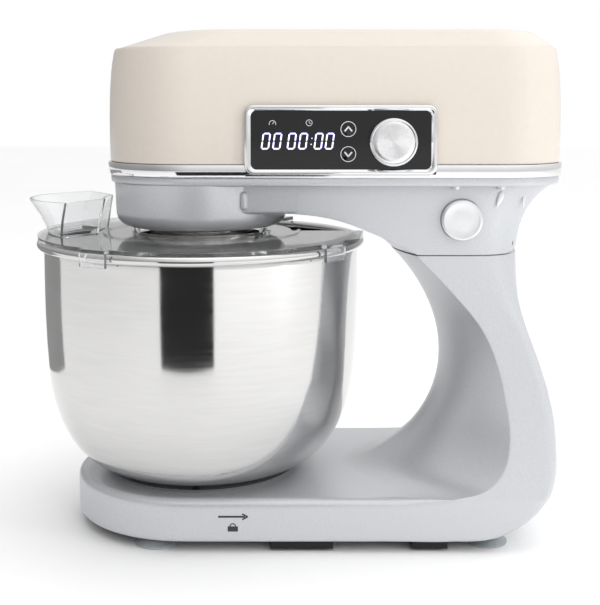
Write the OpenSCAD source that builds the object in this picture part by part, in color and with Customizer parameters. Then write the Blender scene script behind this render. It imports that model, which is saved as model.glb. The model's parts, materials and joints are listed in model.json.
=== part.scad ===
// Tilt-head stand mixer with a twist-lock bowl, a planetary beater drive, a touch display and a
// clear splash guard. Millimetres. The origin is on the table under the bowl's axis, +X runs to
// the column, -Y is the side with the display, +Z is up.

/* [Base] */
// Width of the base
base_w = 160; // [148:1:190]
// Height of the base's flat top above the table
base_top_z = 35; // [33:0.5:40]
// Gap between the table and the base's lower rim
floor_gap = 7; // [6:0.5:9]
// How far the base reaches in front of the bowl's axis
base_reach = 87; // [82:1:100]
// Wall thickness of the stand's casting
stand_wall = 3; // [2.5:0.1:4]
// Radius of each suction foot
foot_r = 13.5; // [11:0.5:15]

/* [Column] */
// Height of the joint between column and head
split_z = 187.2; // [182:0.2:190]
// Half width of the column's top
column_half_w = 50; // [46:0.5:52]
// Where the column's rear face meets the head
column_rear_x = 213.5; // [200:0.5:230]

/* [Bowl] */
// Outer radius of the bowl's wall
bowl_r = 107.6; // [100:0.2:112]
// Sheet thickness of the bowl
bowl_sheet = 1; // [0.8:0.1:1.5]
// Height of the centre of the rolled rim
rim_z = 192; // [184:0.5:193]
// Radius of the rim's roll
rim_roll_r = 3; // [2.5:0.1:3.4]

/* [Head] */
// Width of the head
head_w = 119; // [116:1:130]
// Rear end of the head
head_rear_x = 243; // [238:1:260]
// Height of the head's top above the table
head_top_z = 335; // [325:1:360]
// Wall thickness of the head's covers
cover_wall = 3; // [2:0.1:3.5]
// Height of the bottom of the gearbox drum
drum_z = 203; // [202.6:0.1:204]
// Radius of the gearbox drum
drum_r = 58.5; // [56:0.5:59]

/* [Hinge] */
// Distance of the hinge axis behind the bowl's axis
hinge_x = 204; // [195:1:215]
// Height of the hinge axis
hinge_z = 194; // [193.8:0.1:196]
// Radius of the hinge pin
hinge_pin_r = 3; // [2:0.1:3.5]
// Tilt of the head, in degrees
tilt = 30; // [20:1:30]

/* [Drive] */
// Teeth of the fixed ring gear
ring_teeth = 42; // [40:2:44]
// Teeth of the planet gear
planet_teeth = 14; // [14:2:16]
// Tooth module of the planetary stage
planet_module = 1.5; // [1.4:0.05:1.5]
// Radius of the shaft that carries the beater
tool_shaft_r = 5; // [4:0.1:5.5]
// Half width of the flat beater
beater_half_w = 54; // [44:1:54]
// Distance of the motor's shaft behind the bowl's axis
motor_x = 150; // [146:1:156]
// Half width of the motor's square stator
stator_half_w = 32; // [28:0.5:34]

/* [Controls] */
// Width of the display's frame
bezel_w = 123; // [118:1:130]
// Height of the display's frame
bezel_h = 44.8; // [42:0.2:46]
// Radius of the speed knob
knob_r = 15.1; // [12:0.1:16]
// Radius of the up and down buttons
key_r = 5.2; // [4:0.1:6]
// Travel of the up and down buttons
key_travel = 0.8; // [0.4:0.1:1]
// Radius of the button that frees the head
release_r = 13.4; // [11:0.1:14]
// Travel of the button that frees the head
release_travel = 5; // [3:0.5:5]

/* [Clearances] */
// Radial clearance of a shaft in its bush
run_gap = 0.05; // [0.02:0.01:0.1]
// Gap beside a sliding piece
slide_gap = 0.3; // [0.2:0.05:0.5]
// Gap between pieces that pass each other
part_gap = 0.5; // [0.3:0.05:0.6]
// Play between gear teeth at the pitch circle
backlash = 0.25; // [0.15:0.05:0.4]

/* [Hidden] */
$fn = 64;
FINE = 96;
EPS = 0.01;

// Colours
SILVER = [0.75, 0.76, 0.78];
CREAM = [0.90, 0.87, 0.82];
STEEL = [0.80, 0.80, 0.80];
DARK_STEEL = [0.45, 0.46, 0.48];
BLACK = [0.05, 0.05, 0.06];
RUBBER = [0.40, 0.43, 0.46];
NYLON = [0.92, 0.90, 0.84];
BRONZE = [0.72, 0.52, 0.28];
COPPER = [0.80, 0.42, 0.22];
CLEAR = [0.92, 0.96, 0.98, 0.35];

// ---- helpers -------------------------------------------------------------------------------
// Points of a cubic Bezier curve
function bez(a, b, c, d, n = 8) = [for (i = [0 : n])
    let (t = i / n, s = 1 - t) s^3 * a + 3 * s^2 * t * b + 3 * s * t^2 * c + t^3 * d];
// All points of a list but the first
function rest(v) = [for (i = [1 : len(v) - 1]) v[i]];
// Straight blend between two numbers or points
function mix(a, b, t) = a + (b - a) * t;

// A profile drawn in X and Z, as thick as 2 * half_w along Y
module side_slab(points, half_w) {
    rotate([90, 0, 0])
    linear_extrude(height = 2 * half_w, center = true)
    polygon(points);
}

// A plan outline with a half-round front and two rounded rear corners
module plan(front_x, rear_x, half_w, rear_r) {
    translate([front_x + half_w, 0])
    circle(r = half_w, $fn = FINE);
    translate([front_x + half_w, -half_w])
    square([rear_x - rear_r - front_x - half_w, 2 * half_w]);
    translate([front_x + half_w, -half_w + rear_r])
    square([rear_x - front_x - half_w, 2 * (half_w - rear_r)]);
    for (side = [-1, 1])
        translate([rear_x - rear_r, side * (half_w - rear_r)])
        circle(r = rear_r, $fn = FINE);
}

// A flat plate between two heights
module slab(z0, z1) {
    translate([0, 0, z0])
    linear_extrude(height = z1 - z0)
    children();
}

// A round rod along Z
module rod(x, y, r, z0, z1) {
    translate([x, y, z0])
    cylinder(r = r, h = z1 - z0);
}

// A tube along Z
module tube(x, y, r_in, r_out, z0, z1) {
    difference() {
        rod(x, y, r_out, z0, z1);
        rod(x, y, r_in, z0 - 1, z1 + 1);
    }
}

// A round rod along Y
module rod_y(x, z, r, y0, y1) {
    translate([x, y1, z])
    rotate([90, 0, 0])
    cylinder(r = r, h = y1 - y0);
}

// A box between two corners
module block(low, high) {
    translate(low)
    cube(high - low);
}

// A screw along Z: head_z is the outer face of its head, tip_z its far end
module screw(x, y, shank_r, head_r, head_h, head_z, tip_z) {
    dir = tip_z > head_z ? 1 : -1;
    translate([x, y, dir > 0 ? head_z : head_z - head_h])
    difference() {
        cylinder(r = head_r, h = head_h);
        translate([0, 0, dir > 0 ? -1 : head_h / 2])
        cylinder(r = head_r * 0.45, h = 1 + head_h / 2, $fn = 6);
    }
    rod(x, y, shank_r, min(head_z + dir * head_h, tip_z), max(head_z + dir * head_h, tip_z));
}

// Involute gears. half_deg is half a tooth at the pitch circle, in degrees.
PRESSURE = 20;
function inv(a) = tan(a) * 180 / PI - a;
function flank(r, base_r, half_deg) =
    half_deg + inv(PRESSURE) - (r > base_r ? inv(acos(base_r / r)) : 0);
module gear_outline(teeth, mod, add, ded, play) {
    pitch_r = teeth * mod / 2;
    base_r = pitch_r * cos(PRESSURE);
    half_deg = 90 / teeth - play / 2 / pitch_r * 180 / PI;
    root_r = pitch_r - ded;
    low_r = max(base_r, root_r);
    radii = concat(base_r > root_r + 0.01 ? [root_r] : [],
        [low_r, mix(low_r, pitch_r + add, 0.5), pitch_r + add]);
    points = [for (tooth = [0 : teeth - 1], side = [-1, 1], i = [0 : len(radii) - 1])
        let (
            r = radii[side < 0 ? i : len(radii) - 1 - i],
            a = tooth * 360 / teeth + side * flank(r, base_r, half_deg)
        ) r * [cos(a), sin(a)]];
    polygon(points);
}
module gear(teeth, mod, turn, z0, z1) {
    slab(z0, z1)
    rotate(turn)
    gear_outline(teeth, mod, 0.8 * mod, mod, backlash / 2);
}

// A tapered loft through rings of points that all have the same count
module loft(rings) {
    n = len(rings[0]);
    last = len(rings) - 1;
    points = [for (ring = rings, p = ring) p];
    sides = [for (k = [0 : last - 1], i = [0 : n - 1])
        let (a = k * n + i, b = k * n + (i + 1) % n) each [[a, a + n, b], [b, a + n, b + n]]];
    bottom = [[for (i = [0 : n - 1]) i]];
    top = [[for (i = [n - 1 : -1 : 0]) last * n + i]];
    polyhedron(points = points, faces = concat(sides, bottom, top), convexity = 6);
}

// Points of a plan outline with a half-round front and two rounded rear corners
function outline(front_x, rear_x, half_w, rear_r, z, n = 6) = let (
    arc = function (cx, cy, r, a0, a1, k) [for (i = [0 : k]) let (a = mix(a0, a1, i / k))
        [cx + r * cos(a), cy + r * sin(a), z]]
) concat(
    arc(front_x + half_w, 0, half_w, 90, 270, 4 * n),
    arc(rear_x - rear_r, rear_r - half_w, rear_r, -90, 0, n),
    arc(rear_x - rear_r, half_w - rear_r, rear_r, 0, 90, n));

// ---- stand: derived sizes -------------------------------------------------------------------
base_half_w = base_w / 2;
base_rear_x = 234;
base_rear_r = 14;
base_corner_r = 52;
base_edge = 5;
plate_t = 2.5;
plate_z = floor_gap + plate_t;
joint_gap = 0.5;
head_z0 = split_z + joint_gap;
nose_z = 113;

// Curves of the column seen from the side, each from the split downwards, in X and Z
NOSE = concat(
    bez([131, split_z], [152, 166], [165, 140], [165, nose_z], 8),
    rest(bez([165, nose_z], [165, 88], [152, 66], [138, 55], 7)),
    rest(bez([138, 55], [124, 44], [112, base_top_z + 1], [96, base_top_z], 4)));
REAR = concat(
    bez([column_rear_x, split_z], [column_rear_x - 1, 160], [213.5, 143], [219.5, 130], 6),
    rest(bez([219.5, 130], [228, 109], [base_rear_x, 95], [base_rear_x, 72], 6)),
    [for (z = [floor_gap + base_corner_r, 52, 44, base_top_z]) [base_x(z), z]]);
CREASE = concat(
    bez([142, split_z], [178, 150], [203, 110], [203, 70], 8),
    rest(bez([203, 70], [203, 50], [190, 38], [162, base_top_z], 6)));

// X of a curve at a height, by straight steps
function at_z(curve, z_in) = let (
    z = max(z_in, curve[len(curve) - 1][1]),
    k = max([for (i = [0 : len(curve) - 2]) curve[i][1] >= z ? i : 0]),
    p = curve[k], q = curve[k + 1]
) mix(q[0], p[0], (z - q[1]) / (p[1] - q[1]));
// Half width of the column at a height
function column_w(z) = let (t = (split_z - z) / (split_z - base_top_z))
    mix(column_half_w, base_half_w - 1.5, t^2);
// Plan section of the column, drawn inwards by a wall
function section(z, skin) = let (
    wall = skin + (z < base_top_z ? 1.5 : 0),
    x_nose = at_z(NOSE, z) + wall,
    x_rear = at_z(REAR, z) - wall,
    x_crease = max(x_nose + 6, min(at_z(CREASE, z), x_rear - 24)),
    w = column_w(z) - wall,
    r = mix(base_rear_r, 35, max(0, (z - nose_z) / (split_z - nose_z))^2) - skin,
    blunt = mix(0.5, 1, min(1, (split_z - z) / 45)),
    n = 8
) concat(
    [for (i = [0 : 2 * n - 1]) let (a = -90 + i * 90 / n, c = max(0, cos(a)), s = sin(a))
        [x_crease - (x_crease - x_nose) * c^blunt, -w * sign(s) * abs(s)^blunt, z]],
    [[x_crease, -w, z]],
    [for (side = [-1, 1], i = [0 : 5]) let (a = side < 0 ? -90 + 18 * i : 18 * i)
        [x_rear - r + r * cos(a), side * (w - r) + r * sin(a), z]]);
SECTION_Z = [base_top_z - 2, base_top_z + 0.5, 38, 42, 48, 56, 66, 78, 92, 106, 120, 134, 148, 160,
    171, 180, split_z];
column_top_t = 6;

// Places of the stand's small parts
FOOT_PLACES = [[-27, -60], [-27, 60], [190, -58], [190, 58]];
PLATE_SCREWS = [[-68, 0], [20, -68], [20, 68], [115, -70], [115, 70], [175, -72], [175, 72]];
HINGE_SCREWS = [[183, -22], [183, 22], [192.5, -22], [192.5, 22]];
boss_r = 4.5;
small_shank_r = 1.6;
small_head_r = 2.8;
screw_head_h = 2;
gland_r = 5;
gland_z = floor_gap + base_corner_r;

// Bowl seat: the ring's three tabs hold down three lugs on the bowl's foot
ring_r = 66;
ring_z0 = base_top_z - 5;
ring_z1 = base_top_z + 1.5;
ring_bore_r = 59.5;
tab_t = 2;
tab_deg = 34;
lug_deg = 28;
foot_tube_r = 55;
foot_tube_wall = 2;
tab_r = foot_tube_r + part_gap + 0.1;
lug_r = ring_bore_r - part_gap - 0.1;
lug_z0 = ring_z0 + 1.2;
lug_z1 = ring_z1 - tab_t - part_gap;
bowl_z0 = ring_z1 + 1.5;
LOCK_TURNS = [30, 150, 270];
LOCK_SCREW_TURNS = [0, 90, 180, 270];
lock_screw_r = (ring_bore_r + ring_r) / 2;

// Hinge and latch
lug_tube_r = hinge_z - split_z - part_gap;
ear_r = lug_tube_r - 0.8;
lug_tube_half = 28;
ear_y0 = lug_tube_half + 2;
ear_t = 4;
bracket_t = 2.5;
bracket_x0 = 178.5;
release_x = 172.5;
release_z = 210.9;
keeper_x0 = 166;
keeper_x1 = 178;
keeper_z1 = 206;
latch_z0 = 198;
latch_z1 = 202;
rail_x0 = 180.5;
rail_x1 = 184.5;
lip_y = 3;
latch_shy = 0.4;

// Head, from the drum upwards
head_half_w = head_w / 2;
head_front_x = -head_half_w - 3;
head_rear_r = 46;
lip_z0 = drum_z + 30;
lip_z1 = lip_z0 + 5.5;
band_z1 = lip_z1 + 8.5;
lip_inset = 0.8;
crease_z = head_top_z - 13;
neck_half_w = column_half_w;
neck_rear_x = 242;
neck_rear_r = 35;
floor_t = 2.5;
ledge_r = 52;
hub_r = 37;
hub_hole_r = hub_r + 2;
pocket_r = 43;
pocket_wall = 3.7;
ring_screw_r = 50.5;
RING_SCREW_TURNS = [45, 135, 225, 315];
COVER_SCREWS = [[75, 1], [197, 1], [168, -1], [197, -1]];
cover_screw_y = head_half_w - 5.7;

// Neck seen from the side, in X and Z
NECK_UNDER = bez([60, drum_z + 9], [95, drum_z + 9], [115, drum_z], [131, head_z0], 8);
NECK_REAR = bez([column_rear_x, head_z0], [column_rear_x + 1.5, 205], [222, 222], [238, lip_z0 - 2], 8);
// The same curves moved inwards by the wall
NECK_UNDER_IN = [for (p = NECK_UNDER) p + [1.5, 3]];
NECK_REAR_IN = [for (p = NECK_REAR) p - [cover_wall, 0]];

// Splash guard
guard_z0 = rim_z + rim_roll_r + 0.5;
guard_z1 = guard_z0 + 2.5;
guard_r = bowl_r + 3.9;
guard_hole_r = 45;
collar_t = 3;
post_ring_r = 46.5;
POST_TURNS = [-25, 25, 155, 205];
rim_r = bowl_r + 1.6;
tab_in_r = rim_r + rim_roll_r + 1;
HOOK_TURNS = [-38, -120.5, 120.5];
chute_z1 = guard_z1 + 23;

// Gear train, from the planet carrier upwards
planet_offset = (ring_teeth - planet_teeth) * planet_module / 2;
carrier_z0 = drum_z + floor_t;
carrier_t = 6;
planet_z0 = carrier_z0 + carrier_t + 2;
planet_z1 = planet_z0 + 8;
ring_flange_z = planet_z1 + 1.5;
journal_r = 8;
chassis_z0 = lip_z0 + floor_t;
chassis_t = 3;
chassis_z1 = chassis_z0 + chassis_t;
bush_wall = 4;
gear_z0 = chassis_z1 + 5;
gear_z1 = gear_z0 + 10;
journal_z1 = gear_z1 + 0.5;
LOW_TEETH = [52, 13];
LOW_MODULE = 1.2;
HIGH_TEETH = [48, 12];
HIGH_MODULE = 1.3;
lay_x = (LOW_TEETH[0] + LOW_TEETH[1]) * LOW_MODULE / 2;
high_z0 = journal_z1 + 1;
high_z1 = high_z0 + 7;
lay_pin_r = 3;
bridge_z0 = high_z1 + 3;
bridge_z1 = bridge_z0 + 4;
tower_z1 = bridge_z1 + 23;
drive_shaft_r = 4;
tower_r = 11;
drive_bush_r = 7;
BRIDGE_POSTS = [[-30, -28], [-30, 28], [60, -36], [60, 36]];
post_r = 4;
pulley_z0 = tower_z1 + 3.5;
flange_t = 1.5;
pulley_h = 12;
big_pulley_r = 44;
small_pulley_r = 8.8;
belt_gap = 0.3;
belt_t = 2;

// Motor
motor_shaft_r = 3;
motor_z0 = chassis_z1 + 2;
motor_plate_t = 2.8;
fan_z0 = motor_z0 + motor_plate_t + 0.8;
fan_h = 4.8;
coil_h = 4.2;
stator_z0 = fan_z0 + fan_h + 1 + coil_h;
stator_z1 = stator_z0 + 24;
bore_r = 20;
air_gap = 0.7;
commutator_z0 = stator_z1 + coil_h + 0.5;
motor_z1 = commutator_z0 + 8;
motor_bolt_r = 2;
motor_bolt_at = stator_half_w - 5;
brush_gap = 0.3;
commutator_r = 9;

// Controls, on the -Y side
bezel_x = 93.8;
bezel_z = 262.9;
bezel_border = 4.4;
bezel_front_y = -head_half_w - 3.5;
bezel_back_y = -head_half_w + 5.5;
window_w = bezel_w - 2 * bezel_border;
window_h = bezel_h - 1.8 * bezel_border;
window_front_y = bezel_front_y + 1.2;
window_t = 2.2;
window_back_y = window_front_y + window_t;
board_y = window_back_y + 6;
knob_x = 126.4;
knob_z = 261.9;
knob_front_y = window_front_y - 11.2;
knob_shaft_r = 3;
key_x = 98.4;
KEY_Z = [269.9, 254.1];
key_flange_t = 0.8;

// ---- stand: modules -------------------------------------------------------------------------
// The base's outer form, drawn inwards by a wall and cut off at a floor and a ceiling
function base_x(z) = base_rear_x - base_corner_r
    + sqrt(base_corner_r^2 - max(0, floor_gap + base_corner_r - z)^2);
function base_ring(z, inset) = outline(-base_reach + inset, base_x(max(z, floor_gap + inset)) - inset,
    base_half_w - inset, base_rear_r - inset, z);
module base_form(wall, z0, z1) {
    levels = [1.5, 6, 12, 18];
    loft(concat(
        [base_ring(z0, wall + 1)],
        [for (h = levels) base_ring(z0 + h, wall)],
        [base_ring(z1 - base_edge, wall), base_ring(z1 - 0.3 * base_edge, wall + 0.3 * base_edge),
            base_ring(z1, wall + base_edge)]));
}

module stand_shell() {
    top = split_z - column_top_t;
    color(SILVER)
    difference() {
        union() {
            difference() {
                union() {
                    base_form(0, floor_gap, base_top_z);
                    loft([for (z = SECTION_Z) section(z, 0)]);
                }
                base_form(stand_wall, floor_gap - 1, base_top_z - stand_wall);
                loft(concat([section(base_top_z - stand_wall - 1, stand_wall)],
                    [for (z = SECTION_Z) section(min(z, top), stand_wall)]));
            }
            // Floor under the bowl's seat
            rod(0, 0, ring_r + stand_wall, ring_z0 - stand_wall, base_top_z - EPS);
            for (p = PLATE_SCREWS)
                rod(p[0], p[1], boss_r, plate_z, base_top_z - stand_wall / 2);
            for (p = HINGE_SCREWS)
                rod(p[0], p[1], boss_r, split_z - 16, split_z - 1);
        }
        rod(0, 0, ring_r + EPS, ring_z0, base_top_z + 10);
        for (p = PLATE_SCREWS)
            rod(p[0], p[1], small_shank_r, 0, base_top_z - 2 * stand_wall);
        for (p = HINGE_SCREWS)
            rod(p[0], p[1], small_shank_r, split_z - 14, split_z + 1);
        for (a = LOCK_SCREW_TURNS)
            rotate(a)
            rod(lock_screw_r, 0, small_shank_r, ring_z0 - stand_wall - 1, ring_z0 + 1);
        // Hole for the cord's gland
        translate([base_rear_x - 20, 0, gland_z])
        rotate([0, 90, 0])
        cylinder(r = gland_r, h = 40);
    }
}

module base_plate() {
    inset = stand_wall + 0.7;
    color(BLACK)
    difference() {
        slab(floor_gap, plate_z)
        plan(-base_reach + inset, base_x(floor_gap + stand_wall) - stand_wall - 1,
            base_half_w - inset, base_rear_r - inset);
        for (p = concat(PLATE_SCREWS, FOOT_PLACES))
            rod(p[0], p[1], small_shank_r, 0, plate_z + 1);
    }
}

module base_plate_screws() {
    color(DARK_STEEL)
    for (p = PLATE_SCREWS)
        screw(p[0], p[1], small_shank_r, small_head_r, screw_head_h, floor_gap - screw_head_h,
            base_top_z - 2.5 * stand_wall);
}

module suction_feet() {
    color(RUBBER)
    for (p = FOOT_PLACES)
        translate([p[0], p[1], 0])
        difference() {
            rotate_extrude()
            polygon([[0, floor_gap], [foot_r * 0.52, floor_gap], [foot_r * 0.52, floor_gap - 2],
                [foot_r * 0.7, floor_gap - 3.4], [foot_r, 0.8], [foot_r, 0], [foot_r - 1, 0],
                [foot_r * 0.45, 2], [0, 2.2]]);
            translate([0, 0, 3.5])
            cylinder(r = small_shank_r, h = floor_gap);
        }
}

module foot_screws() {
    color(DARK_STEEL)
    for (p = FOOT_PLACES)
        screw(p[0], p[1], small_shank_r, small_head_r, screw_head_h, plate_z + screw_head_h, 3.5);
}

module rubber_pads() {
    pad_y = base_half_w - 4;
    pad_w = 8;
    pad_z = 1.5;
    color(BLACK)
    for (side = [-1, 1], p = [[69, 20], [151, 11.5]])
        translate([p[0], 0, 0])
        block([-p[1], side * (pad_y - pad_w / 2) - pad_w / 2, pad_z],
            [p[1], side * (pad_y - pad_w / 2) + pad_w / 2, floor_gap]);
}

// An arc-shaped piece of a ring
module arc_piece(r_in, r_out, z0, z1, centre_deg, width_deg) {
    rotate(centre_deg - width_deg / 2)
    rotate_extrude(angle = width_deg)
    translate([r_in, z0])
    square([r_out - r_in, z1 - z0]);
}

module bowl_lock_ring() {
    color(DARK_STEEL)
    difference() {
        union() {
            tube(0, 0, ring_bore_r, ring_r, ring_z0, ring_z1);
            for (a = LOCK_TURNS)
                arc_piece(tab_r, ring_bore_r + 0.5, ring_z1 - tab_t, ring_z1, a, tab_deg);
        }
        for (a = LOCK_SCREW_TURNS)
            rotate(a) {
                rod(lock_screw_r, 0, small_shank_r, ring_z0 - 1, ring_z1 + 1);
                rod(lock_screw_r, 0, small_head_r, ring_z1 - screw_head_h, ring_z1 + 1);
            }
    }
}

module lock_ring_screws() {
    color(DARK_STEEL)
    for (a = LOCK_SCREW_TURNS)
        rotate(a)
        screw(lock_screw_r, 0, small_shank_r, small_head_r, screw_head_h, ring_z1,
            ring_z0 - stand_wall + 0.5);
}

module cord_gland() {
    color(BLACK)
    translate([0, 0, gland_z])
    rotate([0, 90, 0])
    difference() {
        union() {
            rod(0, 0, gland_r, base_rear_x - 8, base_rear_x + 3);
            rod(0, 0, gland_r + 2.5, base_rear_x + 0.05, base_rear_x + 2);
        }
        rod(0, 0, gland_r - 2, base_rear_x - 9, base_rear_x + 4);
    }
}

module hinge_bracket() {
    color(STEEL)
    difference() {
        union() {
            block([bracket_x0, -ear_y0 - ear_t, split_z],
                [hinge_x - lug_tube_r - part_gap, ear_y0 + ear_t, split_z + bracket_t]);
            for (side = [-1, 1])
                translate([0, side * (ear_y0 + ear_t / 2), 0]) {
                    block([bracket_x0, -ear_t / 2, split_z], [hinge_x, ear_t / 2, hinge_z + 2]);
                    rod_y(hinge_x, hinge_z, ear_r, -ear_t / 2, ear_t / 2);
                    block([hinge_x - 2, -ear_t / 2, split_z], [hinge_x + 3, ear_t / 2, hinge_z]);
                }
        }
        rod_y(hinge_x, hinge_z, hinge_pin_r, -60, 60);
        for (p = HINGE_SCREWS)
            rod(p[0], p[1], small_shank_r, split_z - 1, split_z + bracket_t + 1);
    }
}

module hinge_screws() {
    color(DARK_STEEL)
    for (p = HINGE_SCREWS)
        screw(p[0], p[1], small_shank_r, small_head_r, screw_head_h,
            split_z + bracket_t + screw_head_h, split_z - 12);
}

pin_half = ear_y0 + ear_t + 2.5;
module hinge_pin() {
    color(STEEL)
    rod_y(hinge_x, hinge_z, hinge_pin_r, -pin_half, pin_half);
}

module pin_clips() {
    color(DARK_STEEL)
    for (side = [-1, 1])
        difference() {
            rod_y(hinge_x, hinge_z, hinge_pin_r + 1.8, side * (ear_y0 + ear_t + 0.6) - 0.5,
                side * (ear_y0 + ear_t + 0.6) + 0.5);
            rod_y(hinge_x, hinge_z, hinge_pin_r, -60, 60);
        }
}

module latch_keeper() {
    color(STEEL) {
        block([keeper_x0, -6, split_z], [keeper_x1, -3, keeper_z1]);
        block([keeper_x0, -3 - EPS, latch_z1 + 1.5], [keeper_x1, lip_y, keeper_z1]);
        block([keeper_x0, -14, split_z], [keeper_x1, -6 + EPS, split_z + bracket_t]);
    }
}

// ---- bowl -----------------------------------------------------------------------------------
BOWL_CURVE = concat(
    [[0, bowl_z0]],
    bez([58, bowl_z0], [bowl_r - 24, bowl_z0 + 1], [bowl_r - 4.6, 66], [bowl_r - 1.6, 112], 12),
    [[bowl_r, 150], [bowl_r, rim_z - 2]]);
// The inside of the sheet: each point moved by the sheet along the curve's normal
function inside(v, t) = [for (i = [0 : len(v) - 1])
    let (a = v[max(0, i - 1)], b = v[min(len(v) - 1, i + 1)], d = (b - a) / norm(b - a))
    [max(0, v[i][0] - t * d[1]), v[i][1] + t * d[0]]];

module mixing_bowl() {
    wall_in = inside(BOWL_CURVE, bowl_sheet);
    color(STEEL) {
        rotate_extrude($fn = FINE)
        polygon(concat(BOWL_CURVE, [for (i = [len(wall_in) - 1 : -1 : 0]) wall_in[i]]));
        rotate_extrude($fn = FINE)
        translate([rim_r, rim_z])
        circle(r = rim_roll_r);
    }
}

module bowl_foot() {
    color(STEEL) {
        tube(0, 0, foot_tube_r - foot_tube_wall, foot_tube_r, ring_z0 + 0.6, bowl_z0);
        for (a = LOCK_TURNS)
            arc_piece(foot_tube_r - 0.5, lug_r, lug_z0, lug_z1, a, lug_deg);
    }
}

// ---- head casing ----------------------------------------------------------------------------
module head_plan(inset) {
    plan(head_front_x + inset, head_rear_x - inset, head_half_w - inset, head_rear_r - inset);
}

// Everything that would sink into the column when the head is tilted back
module tilt_relief() {
    translate([hinge_x, 0, hinge_z])
    rotate([0, -tilt, 0])
    block([-40, -80, -60], [60, 80, split_z - hinge_z + 0.35]);
}

module vent(x, y, z) {
    translate([x, y, z])
    rotate([0, 25, 0])
    block([-1.5, -10, -7], [1.5, 10, 7]);
}

// The drum's round lower edge, moved in by a wall and up by a floor
function drum_edge(wall, floor) = let (r = drum_r - wall, z = drum_z + floor, e = 10 - floor)
    bez([drum_r - 10, z], [r - e * 0.45, z], [r, z + e * 0.45], [r, z + e], 6);

module head_housing() {
    top = [0, lip_z0 + 1];
    color(SILVER)
    difference() {
        union() {
            difference() {
                union() {
                    slab(lip_z0, lip_z1)
                    head_plan(lip_inset);
                    rotate_extrude($fn = FINE)
                    polygon(concat([[0, drum_z]], drum_edge(0, 0),
                        [[drum_r + 0.8, lip_z0 + EPS], [0, lip_z0 + EPS]]));
                    intersection() {
                        side_slab(concat([top, [0, drum_z + 9]], NECK_UNDER, NECK_REAR,
                            [[240, lip_z0 + 1]]), 80);
                        slab(150, lip_z0 + EPS)
                        plan(-20, neck_rear_x, neck_half_w, neck_rear_r);
                    }
                }
                rotate_extrude($fn = FINE)
                polygon(concat([[0, carrier_z0]], drum_edge(cover_wall, floor_t),
                    [[drum_r - cover_wall, lip_z0], [0, lip_z0]]));
                rod(0, 0, ledge_r, lip_z0 - 1, lip_z1);
                intersection() {
                    side_slab(concat([top, [0, drum_z + 12]], NECK_UNDER_IN,
                        [[150, head_z0 + floor_t], [150, head_z0 - 1],
                            [column_rear_x - cover_wall, head_z0 - 1]],
                        NECK_REAR_IN, [[237, lip_z0 + 3]]), 80);
                    slab(150, chassis_z0 + EPS)
                    plan(-20, neck_rear_x - cover_wall, neck_half_w - cover_wall,
                        neck_rear_r - cover_wall);
                }
                slab(chassis_z0, lip_z1 + 1)
                head_plan(lip_inset + cover_wall);
            }
            // Pocket and bosses of the ring gear
            tube(0, 0, pocket_r, pocket_r + pocket_wall, drum_z + 1, ring_flange_z - part_gap);
            for (a = RING_SCREW_TURNS)
                rotate(a)
                rod(ring_screw_r, 0, boss_r, drum_z + 1.2, ring_flange_z);
            // Hinge tube with its web
            rod_y(hinge_x, hinge_z, lug_tube_r, -lug_tube_half, lug_tube_half);
            block([hinge_x - 3, -lug_tube_half, hinge_z], [column_rear_x - 1, lug_tube_half, hinge_z + 22]);
            // Cross rib and the latch slide's guide
            block([188, -neck_half_w + 1, 203], [191, neck_half_w - 1, 211]);
            block([158, -24, latch_z0 - 2], [191, -21, release_z + 9]);
        }
        rod(0, 0, hub_hole_r, drum_z - 1, carrier_z0 + 1);
        for (a = RING_SCREW_TURNS)
            rotate(a)
            rod(ring_screw_r, 0, small_shank_r, drum_z + 6, ring_flange_z + 1);
        for (a = POST_TURNS)
            rotate(a)
            rod(post_ring_r, 0, 1.5, drum_z - 1, drum_z + 1.5);
        rod_y(hinge_x, hinge_z, hinge_pin_r + run_gap, -60, 60);
        block([rail_x0 - slide_gap, -26, latch_z0 - slide_gap],
            [rail_x1 + slide_gap, -19, latch_z1 + slide_gap]);
        rod_y(release_x, release_z, release_r + slide_gap, -neck_half_w - 5, -neck_half_w + 4);
        for (p = COVER_SCREWS)
            rod(p[0], p[1] * cover_screw_y, small_shank_r + 0.3, lip_z0 - 1, lip_z1 + 1);
        for (side = [-1, 1])
            vent(205, side * (neck_half_w - 2), 220);
        tilt_relief();
    }
}

// One level of the head's cover: the front, sides and rear are drawn in by their own amounts
function cover_ring(z, front, side, rear, corner) =
    outline(head_front_x + front, head_rear_x - rear, head_half_w - side, head_rear_r - corner, z);

module head_cover() {
    w = cover_wall;
    color(CREAM)
    difference() {
        union() {
            difference() {
                loft([
                    cover_ring(band_z1, 0.6, 0.6, 0.6, 0.6),
                    cover_ring(band_z1 + 18, 0.3, 0.3, 0.3, 0.3),
                    cover_ring(band_z1 + 45, 0.7, 0.7, 0.7, 0.7),
                    cover_ring(band_z1 + 62, 1.8, 1.8, 1.8, 1.8),
                    cover_ring(crease_z, 4.1, 4.1, 4.1, 4.1),
                    cover_ring(head_top_z - 2, 40, 14, 20, 12),
                    cover_ring(head_top_z, 52, 30, 36, 28)]);
                loft([
                    cover_ring(band_z1 - 1, 0.6 + w, 0.6 + w, 0.6 + w, 0.6 + w),
                    cover_ring(band_z1 + 45, 0.7 + w, 0.7 + w, 0.7 + w, 0.7 + w),
                    cover_ring(crease_z - w / 2, 4.1 + w, 4.1 + w, 4.1 + w, 4.1 + w),
                    cover_ring(head_top_z - 2 - w, 40, 14, 20, 12)]);
            }
            for (p = COVER_SCREWS)
                rod(p[0], p[1] * cover_screw_y, 3, lip_z1, band_z1 + 12);
        }
        block([bezel_x - bezel_w / 2 + 1.3, -80, bezel_z - bezel_h / 2 + 1.3],
            [bezel_x + bezel_w / 2 - 1.3, -40, bezel_z + bezel_h / 2 - 1.3]);
        for (p = COVER_SCREWS)
            rod(p[0], p[1] * cover_screw_y, small_shank_r, lip_z1 - 1, band_z1 + 6);
    }
}

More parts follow.
